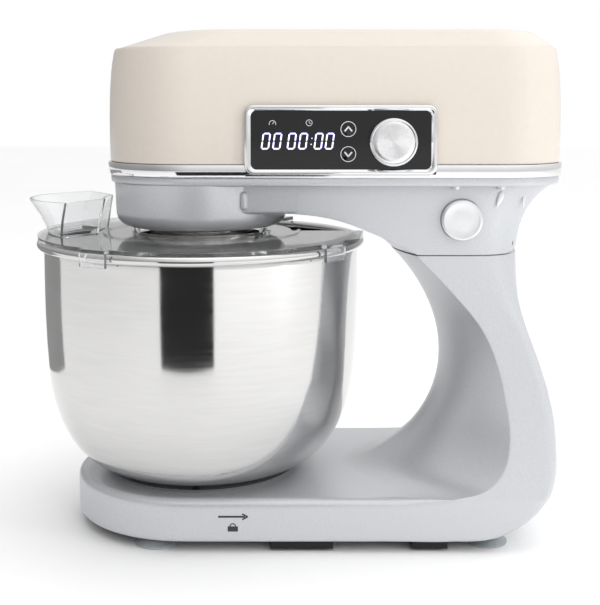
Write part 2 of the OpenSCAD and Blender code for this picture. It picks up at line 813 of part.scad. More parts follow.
module trim_band() {
    color(STEEL)
    difference() {
        slab(lip_z1, band_z1)
        head_plan(-1);
        slab(lip_z1 - 1, band_z1 + 1)
        head_plan(2.4);
        block([bezel_x - bezel_w / 2 + 1.3, -80, lip_z1 + 2.5],
            [bezel_x + bezel_w / 2 - 1.3, -40, band_z1 + 1]);
    }
}

module cover_screws() {
    color(DARK_STEEL)
    for (p = COVER_SCREWS)
        screw(p[0], p[1] * cover_screw_y, small_shank_r, small_head_r, screw_head_h,
            lip_z0 - screw_head_h, band_z1 + 5);
}

// ---- gear train -----------------------------------------------------------------------------
module chassis_plate() {
    color(STEEL)
    difference() {
        slab(chassis_z0, chassis_z1) {
            circle(r = ledge_r + 2, $fn = FINE);
            plan(head_front_x + 12, head_rear_x - 6, neck_half_w + 0.5, 38);
        }
        rod(0, 0, journal_r + run_gap + bush_wall, chassis_z0 - 1, chassis_z1 + 1);
        rod(lay_x, 0, lay_pin_r, chassis_z0 - 1, chassis_z1 + 1);
        rod(motor_x, 0, bore_r, chassis_z0 - 1, chassis_z1 + 1);
        for (x = [-1, 1], y = [-1, 1])
            rod(motor_x + x * motor_bolt_at, y * motor_bolt_at, motor_bolt_r, chassis_z0 - 1, chassis_z1 + 1);
    }
}

module ring_gear() {
    color(NYLON)
    difference() {
        union() {
            rod(0, 0, pocket_r - 0.2, planet_z0 - 0.5, ring_flange_z + EPS);
            rod(0, 0, ring_screw_r + 3, ring_flange_z, ring_flange_z + 3);
        }
        slab(planet_z0 - 1, ring_flange_z + 4)
        gear_outline(ring_teeth, planet_module, planet_module, 0.7 * planet_module, -backlash / 2);
        for (a = RING_SCREW_TURNS)
            rotate(a)
            rod(ring_screw_r, 0, small_shank_r, ring_flange_z - 1, ring_flange_z + 4);
    }
}

module ring_gear_screws() {
    color(DARK_STEEL)
    for (a = RING_SCREW_TURNS)
        rotate(a)
        screw(ring_screw_r, 0, small_shank_r, small_head_r, screw_head_h,
            ring_flange_z + 3 + screw_head_h, drum_z + 7);
}

module main_bush() {
    color(BRONZE)
    tube(0, 0, journal_r + run_gap, journal_r + run_gap + bush_wall, chassis_z0 - 6, gear_z0 - part_gap);
}

module planet_carrier() {
    boss = tool_shaft_r + 3.5;
    color(STEEL)
    difference() {
        union() {
            rod(0, 0, hub_r - 1, carrier_z0, carrier_z0 + carrier_t);
            rod(0, 0, journal_r, carrier_z0, journal_z1);
            rod(0, 0, journal_r + 3, planet_z1 + 2, chassis_z0 - 6 - part_gap);
            rod(planet_offset, 0, boss, carrier_z0 - 13.5, carrier_z0 + EPS);
        }
        rod(planet_offset, 0, tool_shaft_r + run_gap, carrier_z0 - 20, carrier_z0 + carrier_t + 1);
    }
}

module hub_dome() {
    low = carrier_z0 - 18.5;
    sheet = 1;
    curve = bez([27, low], [33.5, low + 1.5], [hub_r - 0.5, low + 9], [hub_r, carrier_z0], 8);
    color(STEEL)
    difference() {
        rotate_extrude($fn = FINE)
        polygon(concat([[0, low]], curve,
            [for (i = [8 : -1 : 0]) [curve[i][0] - sheet, max(low + sheet, curve[i][1])]],
            [[0, low + sheet]]));
        rod(planet_offset, 0, tool_shaft_r + 1, low - 1, low + 4);
    }
}

module carrier_gear() {
    color(NYLON)
    difference() {
        gear(LOW_TEETH[0], LOW_MODULE, 0, gear_z0, gear_z1);
        rod(0, 0, journal_r, gear_z0 - 1, gear_z1 + 1);
    }
}

module planet_gear() {
    color(STEEL)
    translate([planet_offset, 0, 0])
    difference() {
        gear(planet_teeth, planet_module, 0, planet_z0, planet_z1);
        rod(0, 0, tool_shaft_r, planet_z0 - 1, planet_z1 + 1);
    }
}

tool_hub_z1 = carrier_z0 - 22.5;
tool_hub_z0 = tool_hub_z1 - 32;
module tool_shaft() {
    color(STEEL) {
        rod(planet_offset, 0, tool_shaft_r, tool_hub_z0 + 6, planet_z1);
        rod(planet_offset, 0, tool_shaft_r + 2, tool_hub_z1, tool_hub_z1 + 2);
    }
}

// The beater's outer line from its lowest point to its hub, in its own plane
function beater_side(w, low, high) = concat(
    bez([0, low], [w * 0.5, low], [w, low + 12], [w, low + 34], 6),
    rest(bez([w, low + 34], [w, low + 72], [w * 0.45, high - 26], [8, high], 6)));
function mirrored(v) = [for (i = [len(v) - 1 : -1 : 1]) [-v[i][0], v[i][1]]];
module flat_beater() {
    low = bowl_z0 + 9;
    half_t = 3.5;
    rib_t = half_t - 0.6;
    outer = beater_side(beater_half_w, low, tool_hub_z0 + 4);
    inner = beater_side(beater_half_w - 8, low + 8, tool_hub_z0 - 12);
    color(SILVER)
    translate([planet_offset, 0, 0])
    difference() {
        union() {
            rotate(90)
            difference() {
                side_slab(concat(outer, mirrored(outer)), half_t);
                side_slab(concat(inner, mirrored(inner)), half_t + 1);
            }
            block([-rib_t, -4, low + 2], [rib_t, 4, tool_hub_z0 + 2]);
            for (side = [-1, 1], k = [0, 1]) {
                reach = beater_half_w - 6 - 9 * k;
                translate([0, 0, low + 26 + 34 * k])
                rotate([side * 35, 0, 0])
                block([0.2 - rib_t, min(0, side * reach), -3], [rib_t - 0.2, max(0, side * reach), 3]);
            }
            rod(0, 0, tool_shaft_r + 4, tool_hub_z0, tool_hub_z1);
        }
        rod(0, 0, tool_shaft_r, tool_hub_z0 + 6, tool_hub_z1 + 1);
    }
}

module layshaft_pin() {
    color(STEEL)
    rod(lay_x, 0, lay_pin_r, chassis_z0, bridge_z1);
}

module layshaft_gears() {
    color(NYLON)
    translate([lay_x, 0, 0])
    difference() {
        union() {
            rod(0, 0, 5, chassis_z1 + part_gap, gear_z0 + EPS);
            gear(LOW_TEETH[1], LOW_MODULE, 0, gear_z0, gear_z1);
            rod(0, 0, 6, gear_z1 - EPS, high_z0 + EPS);
            gear(HIGH_TEETH[0], HIGH_MODULE, 180 / HIGH_TEETH[0], high_z0, high_z1);
        }
        rod(0, 0, lay_pin_r + run_gap, chassis_z1, high_z1 + 1);
    }
}

module gear_bridge() {
    color(STEEL)
    difference() {
        union() {
            block([-36, -40, bridge_z0], [66, 40, bridge_z1]);
            rod(0, 0, tower_r, bridge_z1 - EPS, tower_z1);
            for (p = BRIDGE_POSTS)
                rod(p[0], p[1], post_r, chassis_z1, bridge_z0 + EPS);
        }
        rod(0, 0, drive_bush_r, bridge_z0 - 1, tower_z1 + 1);
        rod(lay_x, 0, lay_pin_r, bridge_z0 - 1, bridge_z1 + 1);
    }
}

module drive_bushes() {
    color(BRONZE)
    for (z = [bridge_z0, tower_z1 - 8])
        tube(0, 0, drive_shaft_r + run_gap, drive_bush_r, z, z + 8);
}

module drive_shaft() {
    color(STEEL) {
        gear(HIGH_TEETH[1], HIGH_MODULE, 0, high_z0 + 0.5, high_z1 - 0.5);
        rod(0, 0, drive_shaft_r, high_z0, pulley_z0 + pulley_h + 0.5);
    }
}

// A flanged pulley, as a solid of revolution around Z
module pulley(r, bore) {
    z1 = pulley_z0 + pulley_h;
    difference() {
        union() {
            rod(0, 0, r, pulley_z0, z1);
            rod(0, 0, r + 2, pulley_z0, pulley_z0 + flange_t);
            rod(0, 0, r + 2, z1 - flange_t, z1);
        }
        rod(0, 0, bore, pulley_z0 - 1, z1 + 1);
    }
}

module large_pulley() {
    holes = 6;
    color(NYLON)
    difference() {
        pulley(big_pulley_r, drive_shaft_r);
        for (i = [0 : holes - 1])
            rotate(i * 360 / holes)
            rod(big_pulley_r * 0.6, 0, big_pulley_r * 0.22, pulley_z0 - 1, pulley_z0 + pulley_h + 1);
        difference() {
            rod(0, 0, big_pulley_r - 4, pulley_z0 + 8, pulley_z0 + pulley_h + 1);
            rod(0, 0, 10, pulley_z0, pulley_z0 + pulley_h + 1);
        }
    }
}

// Outline around two circles a distance apart along X
module two_circles(r0, r1, apart) {
    a = acos((r0 - r1) / apart);
    n = FINE / 2;
    polygon(concat(
        [for (i = [0 : n]) let (b = mix(a, 360 - a, i / n)) r0 * [cos(b), sin(b)]],
        [for (i = [0 : n / 2]) let (b = mix(-a, a, i * 2 / n)) [apart, 0] + r1 * [cos(b), sin(b)]]));
}

module drive_belt() {
    color(BLACK)
    slab(pulley_z0 + flange_t + 0.4, pulley_z0 + pulley_h - flange_t - 0.4)
    difference() {
        two_circles(big_pulley_r + belt_gap + belt_t, small_pulley_r + belt_gap + belt_t, motor_x);
        two_circles(big_pulley_r + belt_gap, small_pulley_r + belt_gap, motor_x);
    }
}

// ---- motor ----------------------------------------------------------------------------------
module motor_brackets() {
    color(DARK_STEEL)
    translate([motor_x, 0, 0])
    difference() {
        union() {
            for (z = [motor_z0, motor_z1]) {
                block([-stator_half_w, -stator_half_w, z], [stator_half_w, stator_half_w, z + motor_plate_t]);
            }
            for (x = [-1, 1], y = [-1, 1])
                rod(x * motor_bolt_at, y * motor_bolt_at, motor_bolt_r + 2, chassis_z1, motor_z0 + EPS);
            for (side = [-1, 1])
                translate([side * 15.5, 0, 0])
                block([-5, -5, commutator_z0], [5, 5, motor_z1 + EPS]);
        }
        for (z = [motor_z0, motor_z1])
            rod(0, 0, motor_shaft_r + run_gap, z - 1, z + motor_plate_t + 1);
        for (x = [-1, 1], y = [-1, 1])
            rod(x * motor_bolt_at, y * motor_bolt_at, motor_bolt_r, chassis_z1 - 1,
                motor_z1 + motor_plate_t + 1);
        block([-30, -3, commutator_z0 + 1], [30, 3, commutator_z0 + 6]);
    }
}

module motor_bolts() {
    color(STEEL)
    for (x = [-1, 1], y = [-1, 1])
        translate([motor_x + x * motor_bolt_at, y * motor_bolt_at, 0]) {
            rod(0, 0, motor_bolt_r, chassis_z0, motor_z1 + motor_plate_t);
            rod(0, 0, motor_bolt_r * 1.8, motor_z1 + motor_plate_t, motor_z1 + motor_plate_t + 2.5);
        }
}

module motor_stator() {
    color(DARK_STEEL)
    translate([motor_x, 0, 0])
    difference() {
        block([-stator_half_w, -stator_half_w, stator_z0], [stator_half_w, stator_half_w, stator_z1]);
        rod(0, 0, bore_r, stator_z0 - 1, stator_z1 + 1);
        for (x = [-1, 1], y = [-1, 1])
            rod(x * motor_bolt_at, y * motor_bolt_at, motor_bolt_r, stator_z0 - 1, stator_z1 + 1);
    }
}

module field_coils() {
    color(COPPER)
    translate([motor_x, 0, 0])
    for (z = [stator_z0 - coil_h, stator_z1], turn = [0, 180])
        arc_piece(bore_r + 1, stator_half_w - 1, z, z + coil_h, turn, 120);
}

module armature() {
    slots = 12;
    r = bore_r - air_gap;
    color(COPPER)
    translate([motor_x, 0, 0])
    difference() {
        union() {
            difference() {
                rod(0, 0, r, stator_z0 + 1, stator_z1 - 1);
                for (i = [0 : slots - 1])
                    rotate(i * 360 / slots)
                    block([r - 4, -0.8, stator_z0], [r + 1, 0.8, stator_z1]);
            }
            rod(0, 0, r - 4, stator_z0 - coil_h + 0.5, stator_z1 + coil_h - 0.5);
            rod(0, 0, commutator_r, stator_z1, commutator_z0 + 7);
        }
        rod(0, 0, motor_shaft_r, 0, 400);
    }
}

module motor_shaft() {
    color(STEEL)
    rod(motor_x, 0, motor_shaft_r, motor_z0, pulley_z0 + pulley_h);
}

module cooling_fan() {
    blades = 12;
    fan_r = 24;
    color(BLACK)
    translate([motor_x, 0, 0])
    difference() {
        union() {
            rod(0, 0, fan_r, fan_z0, fan_z0 + 1);
            rod(0, 0, 6, fan_z0, fan_z0 + fan_h);
            for (i = [0 : blades - 1])
                rotate(i * 360 / blades)
                block([5, -0.6, fan_z0], [fan_r - 0.5, 0.6, fan_z0 + fan_h]);
        }
        rod(0, 0, motor_shaft_r, fan_z0 - 1, fan_z0 + fan_h + 1);
    }
}

module motor_pulley() {
    color(STEEL)
    translate([motor_x, 0, 0])
    pulley(small_pulley_r, motor_shaft_r);
}

module carbon_brushes() {
    color(BLACK)
    for (side = [0, 180])
        translate([motor_x, 0, 0])
        rotate(side)
        block([commutator_r + brush_gap, -3, commutator_z0 + 1], [20, 3, commutator_z0 + 6]);
}

// ---- electronics and controls ---------------------------------------------------------------
module power_board() {
    z0 = chassis_z1 + 4;
    color("darkgreen") {
        block([192, -34, z0], [230, 34, z0 + 1.6]);
        for (x = [196, 226], y = [-30, 30])
            rod(x, y, 2.5, chassis_z1, z0 + EPS);
        for (y = [-22, -8])
            rod(203, y, 5.5, z0 + 1.6 - EPS, z0 + 20);
        block([198, 6, z0 + 1.6 - EPS], [224, 8.5, z0 + 26]);
        block([214, -28, z0 + 1.6 - EPS], [226, -4, z0 + 14]);
    }
}

module control_board() {
    y1 = board_y + 1.6;
    color("darkgreen") {
        block([bezel_x - 55, board_y, bezel_z - 16.5], [bezel_x + 55, y1, bezel_z + 16.5]);
        block([42, window_back_y + 0.4, 250.5], [90, board_y + EPS, 274.5]);
        for (z = KEY_Z)
            rod_y(key_x, z, 2.5, window_back_y + 1.2 + key_travel + 0.3, board_y + EPS);
        block([50, y1 - EPS, 254], [66, y1 + 3, 270]);
        block([78, y1 - EPS, 256], [94, y1 + 4, 268]);
    }
}

// An upright frame plate with round corners: width and height along X and Z
module upright(w, h, r, y0, y1) {
    translate([bezel_x, y1, bezel_z])
    rotate([90, 0, 0])
    linear_extrude(height = y1 - y0) {
        square([w, h - 2 * r], center = true);
        square([w - 2 * r, h], center = true);
        for (x = [-1, 1], y = [-1, 1])
            translate([x * (w / 2 - r), y * (h / 2 - r)])
            circle(r = r);
    }
}

module display_bezel() {
    color(STEEL)
    difference() {
        union() {
            upright(bezel_w, bezel_h, 6, bezel_front_y, -head_half_w - 1);
            upright(bezel_w - 3.2, bezel_h - 3.2, 5, -head_half_w - 1 - EPS, bezel_back_y);
        }
        upright(window_w, window_h, 3.5, bezel_front_y - 1, window_back_y);
        upright(window_w - 4, window_h - 4, 2.5, window_back_y - 1, bezel_back_y + 1);
    }
}

module display_window() {
    color(BLACK)
    difference() {
        upright(window_w, window_h, 3.5, window_front_y, window_back_y);
        rod_y(knob_x, knob_z, 4.6, -80, -40);
        for (z = KEY_Z)
            rod_y(key_x, z, key_r + slide_gap, -80, -40);
    }
}

module speed_encoder() {
    color(DARK_STEEL)
    difference() {
        union() {
            block([knob_x - 7, window_back_y + 1.5, knob_z - 7], [knob_x + 7, board_y, knob_z + 7]);
            rod_y(knob_x, knob_z, 4.4, window_front_y - 0.4, window_back_y + 1.5 + EPS);
        }
        rod_y(knob_x, knob_z, knob_shaft_r + run_gap, -80, board_y - 0.8);
    }
}

module speed_knob() {
    skirt_y = window_front_y - 1;
    color(STEEL)
    difference() {
        union() {
            rod_y(knob_x, knob_z, knob_r, knob_front_y, skirt_y);
            rod_y(knob_x, knob_z, knob_shaft_r, skirt_y - 1, board_y - 1.2);
        }
        rod_y(knob_x, knob_z, knob_r - 1.8, knob_front_y - 1, knob_front_y + 1.2);
    }
}

module knob_cap() {
    color(STEEL)
    rod_y(knob_x, knob_z, knob_r - 1.8, knob_front_y - 0.3, knob_front_y + 1.2);
}

module key(z) {
    flange_y = window_back_y + 0.4;
    color(BLACK) {
        rod_y(key_x, z, key_r, window_front_y - 0.5, flange_y + key_flange_t);
        rod_y(key_x, z, key_r + 1, flange_y, flange_y + key_flange_t);
    }
}
module up_button() {
    key(KEY_Z[0]);
}
module down_button() {
    key(KEY_Z[1]);
}

slide_y = -neck_half_w + 6;
slide_t = 3;
module release_button() {
    color(STEEL)
    rod_y(release_x, release_z, release_r, -neck_half_w - 5, slide_y);
}

module latch_slide() {
    nose_y = lip_y + latch_shy;
    color(DARK_STEEL) {
        block([keeper_x0 - 1, slide_y, latch_z0], [rail_x1, slide_y + slide_t, latch_z0 + 18]);
        block([rail_x0, slide_y, latch_z0], [rail_x1, nose_y + 6, latch_z1]);
        block([keeper_x0, nose_y, latch_z0], [rail_x1, nose_y + 6, latch_z1]);
    }
}

// A round wire swept along a helix around Y
module coil_spring(r, wire_r, turns, y0, y1) {
    steps = 14;
    sides = 6;
    n = turns * steps;
    ring = function (k) let (a = k * 360 / steps, y = mix(y0 + wire_r, y1 - wire_r, k / n))
        [for (j = [0 : sides - 1]) let (b = -j * 360 / sides, q = r + wire_r * cos(b))
            [q * cos(a), y + wire_r * sin(b), q * sin(a)]];
    loft([for (k = [0 : n]) ring(k)]);
}

module release_spring() {
    color(STEEL)
    translate([release_x, 0, release_z])
    coil_spring(5, 0.6, 5, slide_y + slide_t, -24 - release_travel - slide_gap);
}

// ---- guard and chute ------------------------------------------------------------------------
// A slice of pie from one angle to another
module sector(r_in, r_out, a0, a1) {
    n = 12;
    polygon(concat(
        [for (i = [0 : n]) let (a = mix(a0, a1, i / n)) r_out / cos((a1 - a0) / n / 2) * [cos(a), sin(a)]],
        [for (i = [n : -1 : 0]) let (a = mix(a0, a1, i / n)) r_in * [cos(a), sin(a)]]));
}

// One level of the chute: an inner arc, and an outer arc that bulges in its middle
function chute_ring(r_in, r_out, bulge, in_deg, out_deg, z) = let (n = 8) concat(
    [for (i = [-n : n]) let (a = 180 + i * out_deg / n, r = r_out + bulge * cos(i * 90 / n))
        [r * cos(a), r * sin(a), z]],
    [for (i = [n : -2 : -n]) let (a = 180 + i * in_deg / n)
        [r_in * cos(a), r_in * sin(a), z]]);
function chute_port(gap, z) = chute_ring(74 - gap, 96 + gap, 7, 15 + gap, 21 + gap, z);

module splash_guard() {
    color(CLEAR)
    difference() {
        union() {
            rod(0, 0, guard_r, guard_z0, guard_z1);
            tube(0, 0, guard_hole_r, guard_hole_r + collar_t, guard_z1 - EPS, guard_z1 + 1.5);
            tube(0, 0, 66, 68, guard_z1 - EPS, guard_z1 + 1);
            for (a = POST_TURNS)
                rotate(a) {
                    rod(post_ring_r, 0, 2, guard_z1 - EPS, drum_z);
                    rod(post_ring_r, 0, 1.5, drum_z - EPS, drum_z + 1.3);
                }
            for (a = HOOK_TURNS)
                rotate(a) {
                    block([guard_r - 8, -10, guard_z0], [tab_in_r + 2, 10, guard_z1]);
                    block([tab_in_r, -10, rim_z - 5], [tab_in_r + 2, 10, guard_z0 + EPS]);
                }
        }
        rod(0, 0, guard_hole_r, guard_z0 - 1, guard_z1 + 2);
        slab(guard_z0 - 1, guard_z1 + 2)
        sector(62, guard_r + 10, 0, 56);
        loft([chute_port(slide_gap, guard_z0 - 1), chute_port(slide_gap, guard_z1 + 2)]);
    }
}

module feed_chute() {
    t = 2;
    color(CLEAR)
    difference() {
        loft([
            chute_port(-slide_gap, guard_z0),
            chute_port(-slide_gap, guard_z1),
            chute_ring(71, 98, 8, 16, 23, guard_z1),
            chute_ring(70, 98, 10, 16, 24, guard_z1 + 6),
            chute_ring(68, 98, 15, 15, 27, guard_z1 + 15),
            chute_ring(66, 98, 20, 14, 30, chute_z1)]);
        loft([
            chute_ring(74 + t, 94, 7, 13.5, 19, guard_z0 - 1),
            chute_ring(74 + t, 94, 7, 13.5, 19, guard_z1),
            chute_ring(70 + t, 96, 10, 14.5, 22.6, guard_z1 + 6),
            chute_ring(68 + t, 96, 15, 13.5, 25.6, guard_z1 + 15),
            chute_ring(66 + t, 96, 20.4, 12.6, 28.8, chute_z1 + 1)]);
    }
}

stand_shell();
base_plate();
base_plate_screws();
suction_feet();
foot_screws();
rubber_pads();
bowl_lock_ring();
lock_ring_screws();
cord_gland();
hinge_bracket();
hinge_screws();
hinge_pin();
pin_clips();
latch_keeper();
mixing_bowl();
bowl_foot();
head_housing();
head_cover();
trim_band();
cover_screws();
chassis_plate();
ring_gear();
ring_gear_screws();
main_bush();
planet_carrier();
hub_dome();
carrier_gear();
planet_gear();
tool_shaft();
flat_beater();
layshaft_pin();
layshaft_gears();
gear_bridge();
drive_bushes();
drive_shaft();
large_pulley();
drive_belt();
motor_brackets();
motor_bolts();
motor_stator();
field_coils();
armature();
motor_shaft();
cooling_fan();
motor_pulley();
carbon_brushes();
power_board();
control_board();
display_bezel();
display_window();
speed_encoder();
speed_knob();
knob_cap();
up_button();
down_button();
release_button();
latch_slide();
release_spring();
splash_guard();
feed_chute();
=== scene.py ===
import json
import math
import bpy
from mathutils import Matrix, Vector


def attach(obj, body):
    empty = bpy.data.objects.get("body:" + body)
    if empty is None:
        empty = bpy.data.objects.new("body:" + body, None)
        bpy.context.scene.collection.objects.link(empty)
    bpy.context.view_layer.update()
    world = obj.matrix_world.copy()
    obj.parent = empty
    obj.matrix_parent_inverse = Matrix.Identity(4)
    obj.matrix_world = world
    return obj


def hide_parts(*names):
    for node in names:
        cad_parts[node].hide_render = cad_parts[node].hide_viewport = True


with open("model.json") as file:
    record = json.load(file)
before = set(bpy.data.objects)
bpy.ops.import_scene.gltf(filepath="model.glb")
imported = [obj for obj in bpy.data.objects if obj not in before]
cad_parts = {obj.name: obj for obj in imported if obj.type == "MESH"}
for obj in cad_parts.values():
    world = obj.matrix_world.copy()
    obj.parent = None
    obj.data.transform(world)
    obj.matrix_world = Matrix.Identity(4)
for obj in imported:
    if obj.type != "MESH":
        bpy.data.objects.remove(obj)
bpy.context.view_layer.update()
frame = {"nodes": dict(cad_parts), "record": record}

nodes = frame["nodes"]
MM = 0.001


# ---- materials ------------------------------------------------------------------------------
def principled(name, color, metallic=0.0, roughness=0.5, **extra):
    """A Principled material and its nodes."""
    mat = bpy.data.materials.new(name)
    mat.use_nodes = True
    bsdf = mat.node_tree.nodes["Principled BSDF"]
    bsdf.inputs["Base Color"].default_value = (*color, 1)
    bsdf.inputs["Metallic"].default_value = metallic
    bsdf.inputs["Roughness"].default_value = roughness
    for key, value in extra.items():
        bsdf.inputs[key.replace("_", " ")].default_value = value
    return mat, mat.node_tree, bsdf


def noise(tree, scale, detail=3.0, stretch=(1, 1, 1)):
    """A noise texture in object space, its coordinates stretched per axis."""
    coord = tree.nodes.new("ShaderNodeTexCoord")
    mapping = tree.nodes.new("ShaderNodeMapping")
    mapping.inputs["Scale"].default_value = stretch
    tex = tree.nodes.new("ShaderNodeTexNoise")
    tex.inputs["Scale"].default_value = scale
    tex.inputs["Detail"].default_value = detail
    tree.links.new(coord.outputs["Object"], mapping.inputs["Vector"])
    tree.links.new(mapping.outputs["Vector"], tex.inputs["Vector"])
    return tex


def ramp(tree, source, low, high, start=0.3, end=0.7):
    """Maps a texture's factor to a range of colours."""
    node = tree.nodes.new("ShaderNodeValToRGB")
    node.color_ramp.elements[0].position = start
    node.color_ramp.elements[1].position = end
    node.color_ramp.elements[0].color = (*low, 1)
    node.color_ramp.elements[1].color = (*high, 1)
    tree.links.new(source.outputs["Fac"], node.inputs["Fac"])
    return node


def spread(tree, source, low, high):
    """Maps a texture's factor to a range of numbers."""
    node = tree.nodes.new("ShaderNodeMapRange")
    node.inputs["From Min"].default_value = 0.3
    node.inputs["From Max"].default_value = 0.7
    node.inputs["To Min"].default_value = low
    node.inputs["To Max"].default_value = high
    tree.links.new(source.outputs["Fac"], node.inputs["Value"])
    return node


def bump(tree, bsdf, source, strength, distance):
    """Fine relief from a texture's factor."""
    node = tree.nodes.new("ShaderNodeBump")
    node.inputs["Strength"].default_value = strength
    node.inputs["Distance"].default_value = distance
    tree.links.new(source.outputs["Fac"], node.inputs["Height"])
    tree.links.new(node.outputs["Normal"], bsdf.inputs["Normal"])


def grained(name, color, metallic, rough, grain, vary=0.04, bumps=0.1, depth=0.00005,
            stretch=(1, 1, 1), **extra):
    """A material whose colour, roughness and relief vary with one fine grain."""
    mat, tree, bsdf = principled(name, color, metallic, rough[0], **extra)
    tex = noise(tree, grain, 4.0, stretch)
    low = tuple(max(0, c * (1 - vary)) for c in color)
    high = tuple(min(1, c * (1 + vary)) for c in color)
    tree.links.new(ramp(tree, tex, low, high).outputs["Color"], bsdf.inputs["Base Color"])
    tree.links.new(spread(tree, tex, *rough).outputs["Result"], bsdf.inputs["Roughness"])
    if bumps:
        bump(tree, bsdf, tex, bumps, depth)
    return mat


silver = grained("silver_enamel", (0.57, 0.582, 0.605), 0.45, (0.34, 0.42), 900, 0.05, 0.12,
                 0.00004, Coat_Weight=0.25, Coat_Roughness=0.25)
cream = grained("cream_enamel", (0.66, 0.60, 0.535), 0.0, (0.30, 0.36), 260, 0.012, 0.06,
                0.00004, Coat_Weight=0.35, Coat_Roughness=0.18)
chrome = grained("chrome", (0.80, 0.80, 0.81), 1.0, (0.05, 0.09), 60, 0.02, 0.02, 0.00003)
steel = grained("bowl_steel", (0.66, 0.655, 0.65), 1.0, (0.07, 0.11), 30, 0.03, 0.05, 0.00003,
                (1, 1, 14))
satin = grained("satin_steel", (0.80, 0.81, 0.82), 0.9, (0.28, 0.34), 180, 0.02, 0.02, 0.00002)
turned = grained("turned_steel", (0.62, 0.60, 0.58), 1.0, (0.16, 0.28), 40, 0.06, 0.12,
                 0.00004, (1, 1, 30))
plain = grained("plain_steel", (0.50, 0.50, 0.51), 1.0, (0.28, 0.42), 120, 0.08, 0.12)
dark = grained("dark_steel", (0.11, 0.11, 0.12), 0.8, (0.40, 0.55), 150, 0.15, 0.15)
aluminium = grained("cast_aluminium", (0.66, 0.66, 0.67), 0.95, (0.34, 0.48), 700, 0.08, 0.3)
black = grained("black_plastic", (0.012, 0.012, 0.013), 0.0, (0.45, 0.6), 1200, 0.2, 0.3)
grey = grained("grey_plastic", (0.16, 0.16, 0.17), 0.0, (0.42, 0.55), 900, 0.1, 0.25)
glossy = grained("black_window", (0.004, 0.004, 0.005), 0.0, (0.04, 0.07), 8, 0.1, 0.0)
rubber = grained("foot_rubber", (0.33, 0.36, 0.38), 0.0, (0.45, 0.6), 400, 0.06, 0.2)
tyre = grained("black_rubber", (0.01, 0.01, 0.01), 0.0, (0.7, 0.85), 600, 0.2, 0.4)
nylon = grained("nylon", (0.74, 0.71, 0.62), 0.0, (0.38, 0.5), 300, 0.03, 0.1)
bronze = grained("bronze", (0.45, 0.27, 0.11), 1.0, (0.3, 0.45), 900, 0.12, 0.2)
copper = grained("copper", (0.55, 0.22, 0.10), 0.9, (0.25, 0.4), 60, 0.15, 0.5, 0.0003,
                 (1, 1, 12))
carbon = grained("carbon", (0.03, 0.03, 0.03), 0.2, (0.55, 0.7), 900, 0.2, 0.2)
board = grained("board", (0.012, 0.10, 0.03), 0.0, (0.35, 0.5), 120, 0.2, 0.1)
ink = grained("printed_ink", (0.035, 0.035, 0.04), 0.0, (0.5, 0.6), 500, 0.1, 0.0)
clear = grained("clear_plastic", (0.975, 0.98, 0.985), 0.0, (0.02, 0.05), 40, 0.01, 0.05,
                0.00005, Transmission_Weight=0.94, IOR=1.4)


def brushed_metal():
    """Metal brushed in circles round its own Z axis."""
    mat, tree, bsdf = principled("brushed_face", (0.88, 0.88, 0.89), 1.0, 0.27, Anisotropic=0.85)
    rough = spread(tree, noise(tree, 220, 2.0), 0.22, 0.32)
    tree.links.new(rough.outputs["Result"], bsdf.inputs["Roughness"])
    tangent = tree.nodes.new("ShaderNodeTangent")
    tangent.direction_type = "RADIAL"
    tangent.axis = "Z"
    tree.links.new(tangent.outputs["Tangent"], bsdf.inputs["Tangent"])
    return mat


def lit(name, color, strength):
    """A softly glowing material for what the display shows."""
    mat, tree, bsdf = principled(name, color, 0.0, 0.4)
    dim = tuple(c * 0.92 for c in color)
    tone = ramp(tree, noise(tree, 900, 1.0), dim, color)
    tree.links.new(tone.outputs["Color"], bsdf.inputs["Base Color"])
    tree.links.new(tone.outputs["Color"], bsdf.inputs["Emission Color"])
    bsdf.inputs["Emission Strength"].default_value = strength
    return mat


brushed = brushed_metal()
digits = lit("display_digits", (0.62, 0.60, 0.95), 1.5)
marks = lit("display_marks", (0.55, 0.56, 0.60), 0.35)

BY_SLOT = {
    "silver_enamel": silver, "cream_enamel": cream, "polished_steel": steel,
    "chrome_trim": chrome, "brushed_trim": turned, "plain_steel": plain, "dark_steel": dark,
    "cast_aluminium": aluminium, "black_plastic": black, "grey_plastic": grey,
    "black_window": glossy, "clear_plastic": clear, "foot_rubber": rubber,
    "black_rubber": tyre, "nylon": nylon, "bronze": bronze, "copper": copper,
    "carbon": carbon, "board": board,
}
BY_NODE = {"cover_screws": satin}
for part in frame["record"]["subparts"]:
    mesh = nodes[part["node"]].data
    mesh.materials.clear()
    mesh.materials.append(BY_NODE.get(part["node"], BY_SLOT[part["material_slot"]]))


# ---- mesh helpers, in millimetres -----------------------------------------------------------
def mix(a, b, t):
    """The value a share t of the way from a to b."""
    return a + (b - a) * t


def clamp(t, low=0.0, high=1.0):
    return max(low, min(high, t))


def bez(a, b, c, d, n=16):
    """Points along a cubic curve."""
    out = []
    for i in range(n + 1):
        t = i / n
        s = 1 - t
        out.append(tuple(s**3 * p + 3 * s * s * t * q + 3 * s * t * t * r + t**3 * u
                         for p, q, r, u in zip(a, b, c, d)))
    return out


def x_at(curve, z):
    """X of a curve, listed from its top down, at a height."""
    z = clamp(z, curve[-1][1], curve[0][1])
    for p, q in zip(curve, curve[1:]):
        if q[1] <= z <= p[1]:
            return mix(q[0], p[0], (z - q[1]) / max(1e-6, p[1] - q[1]))
    return curve[-1][0]


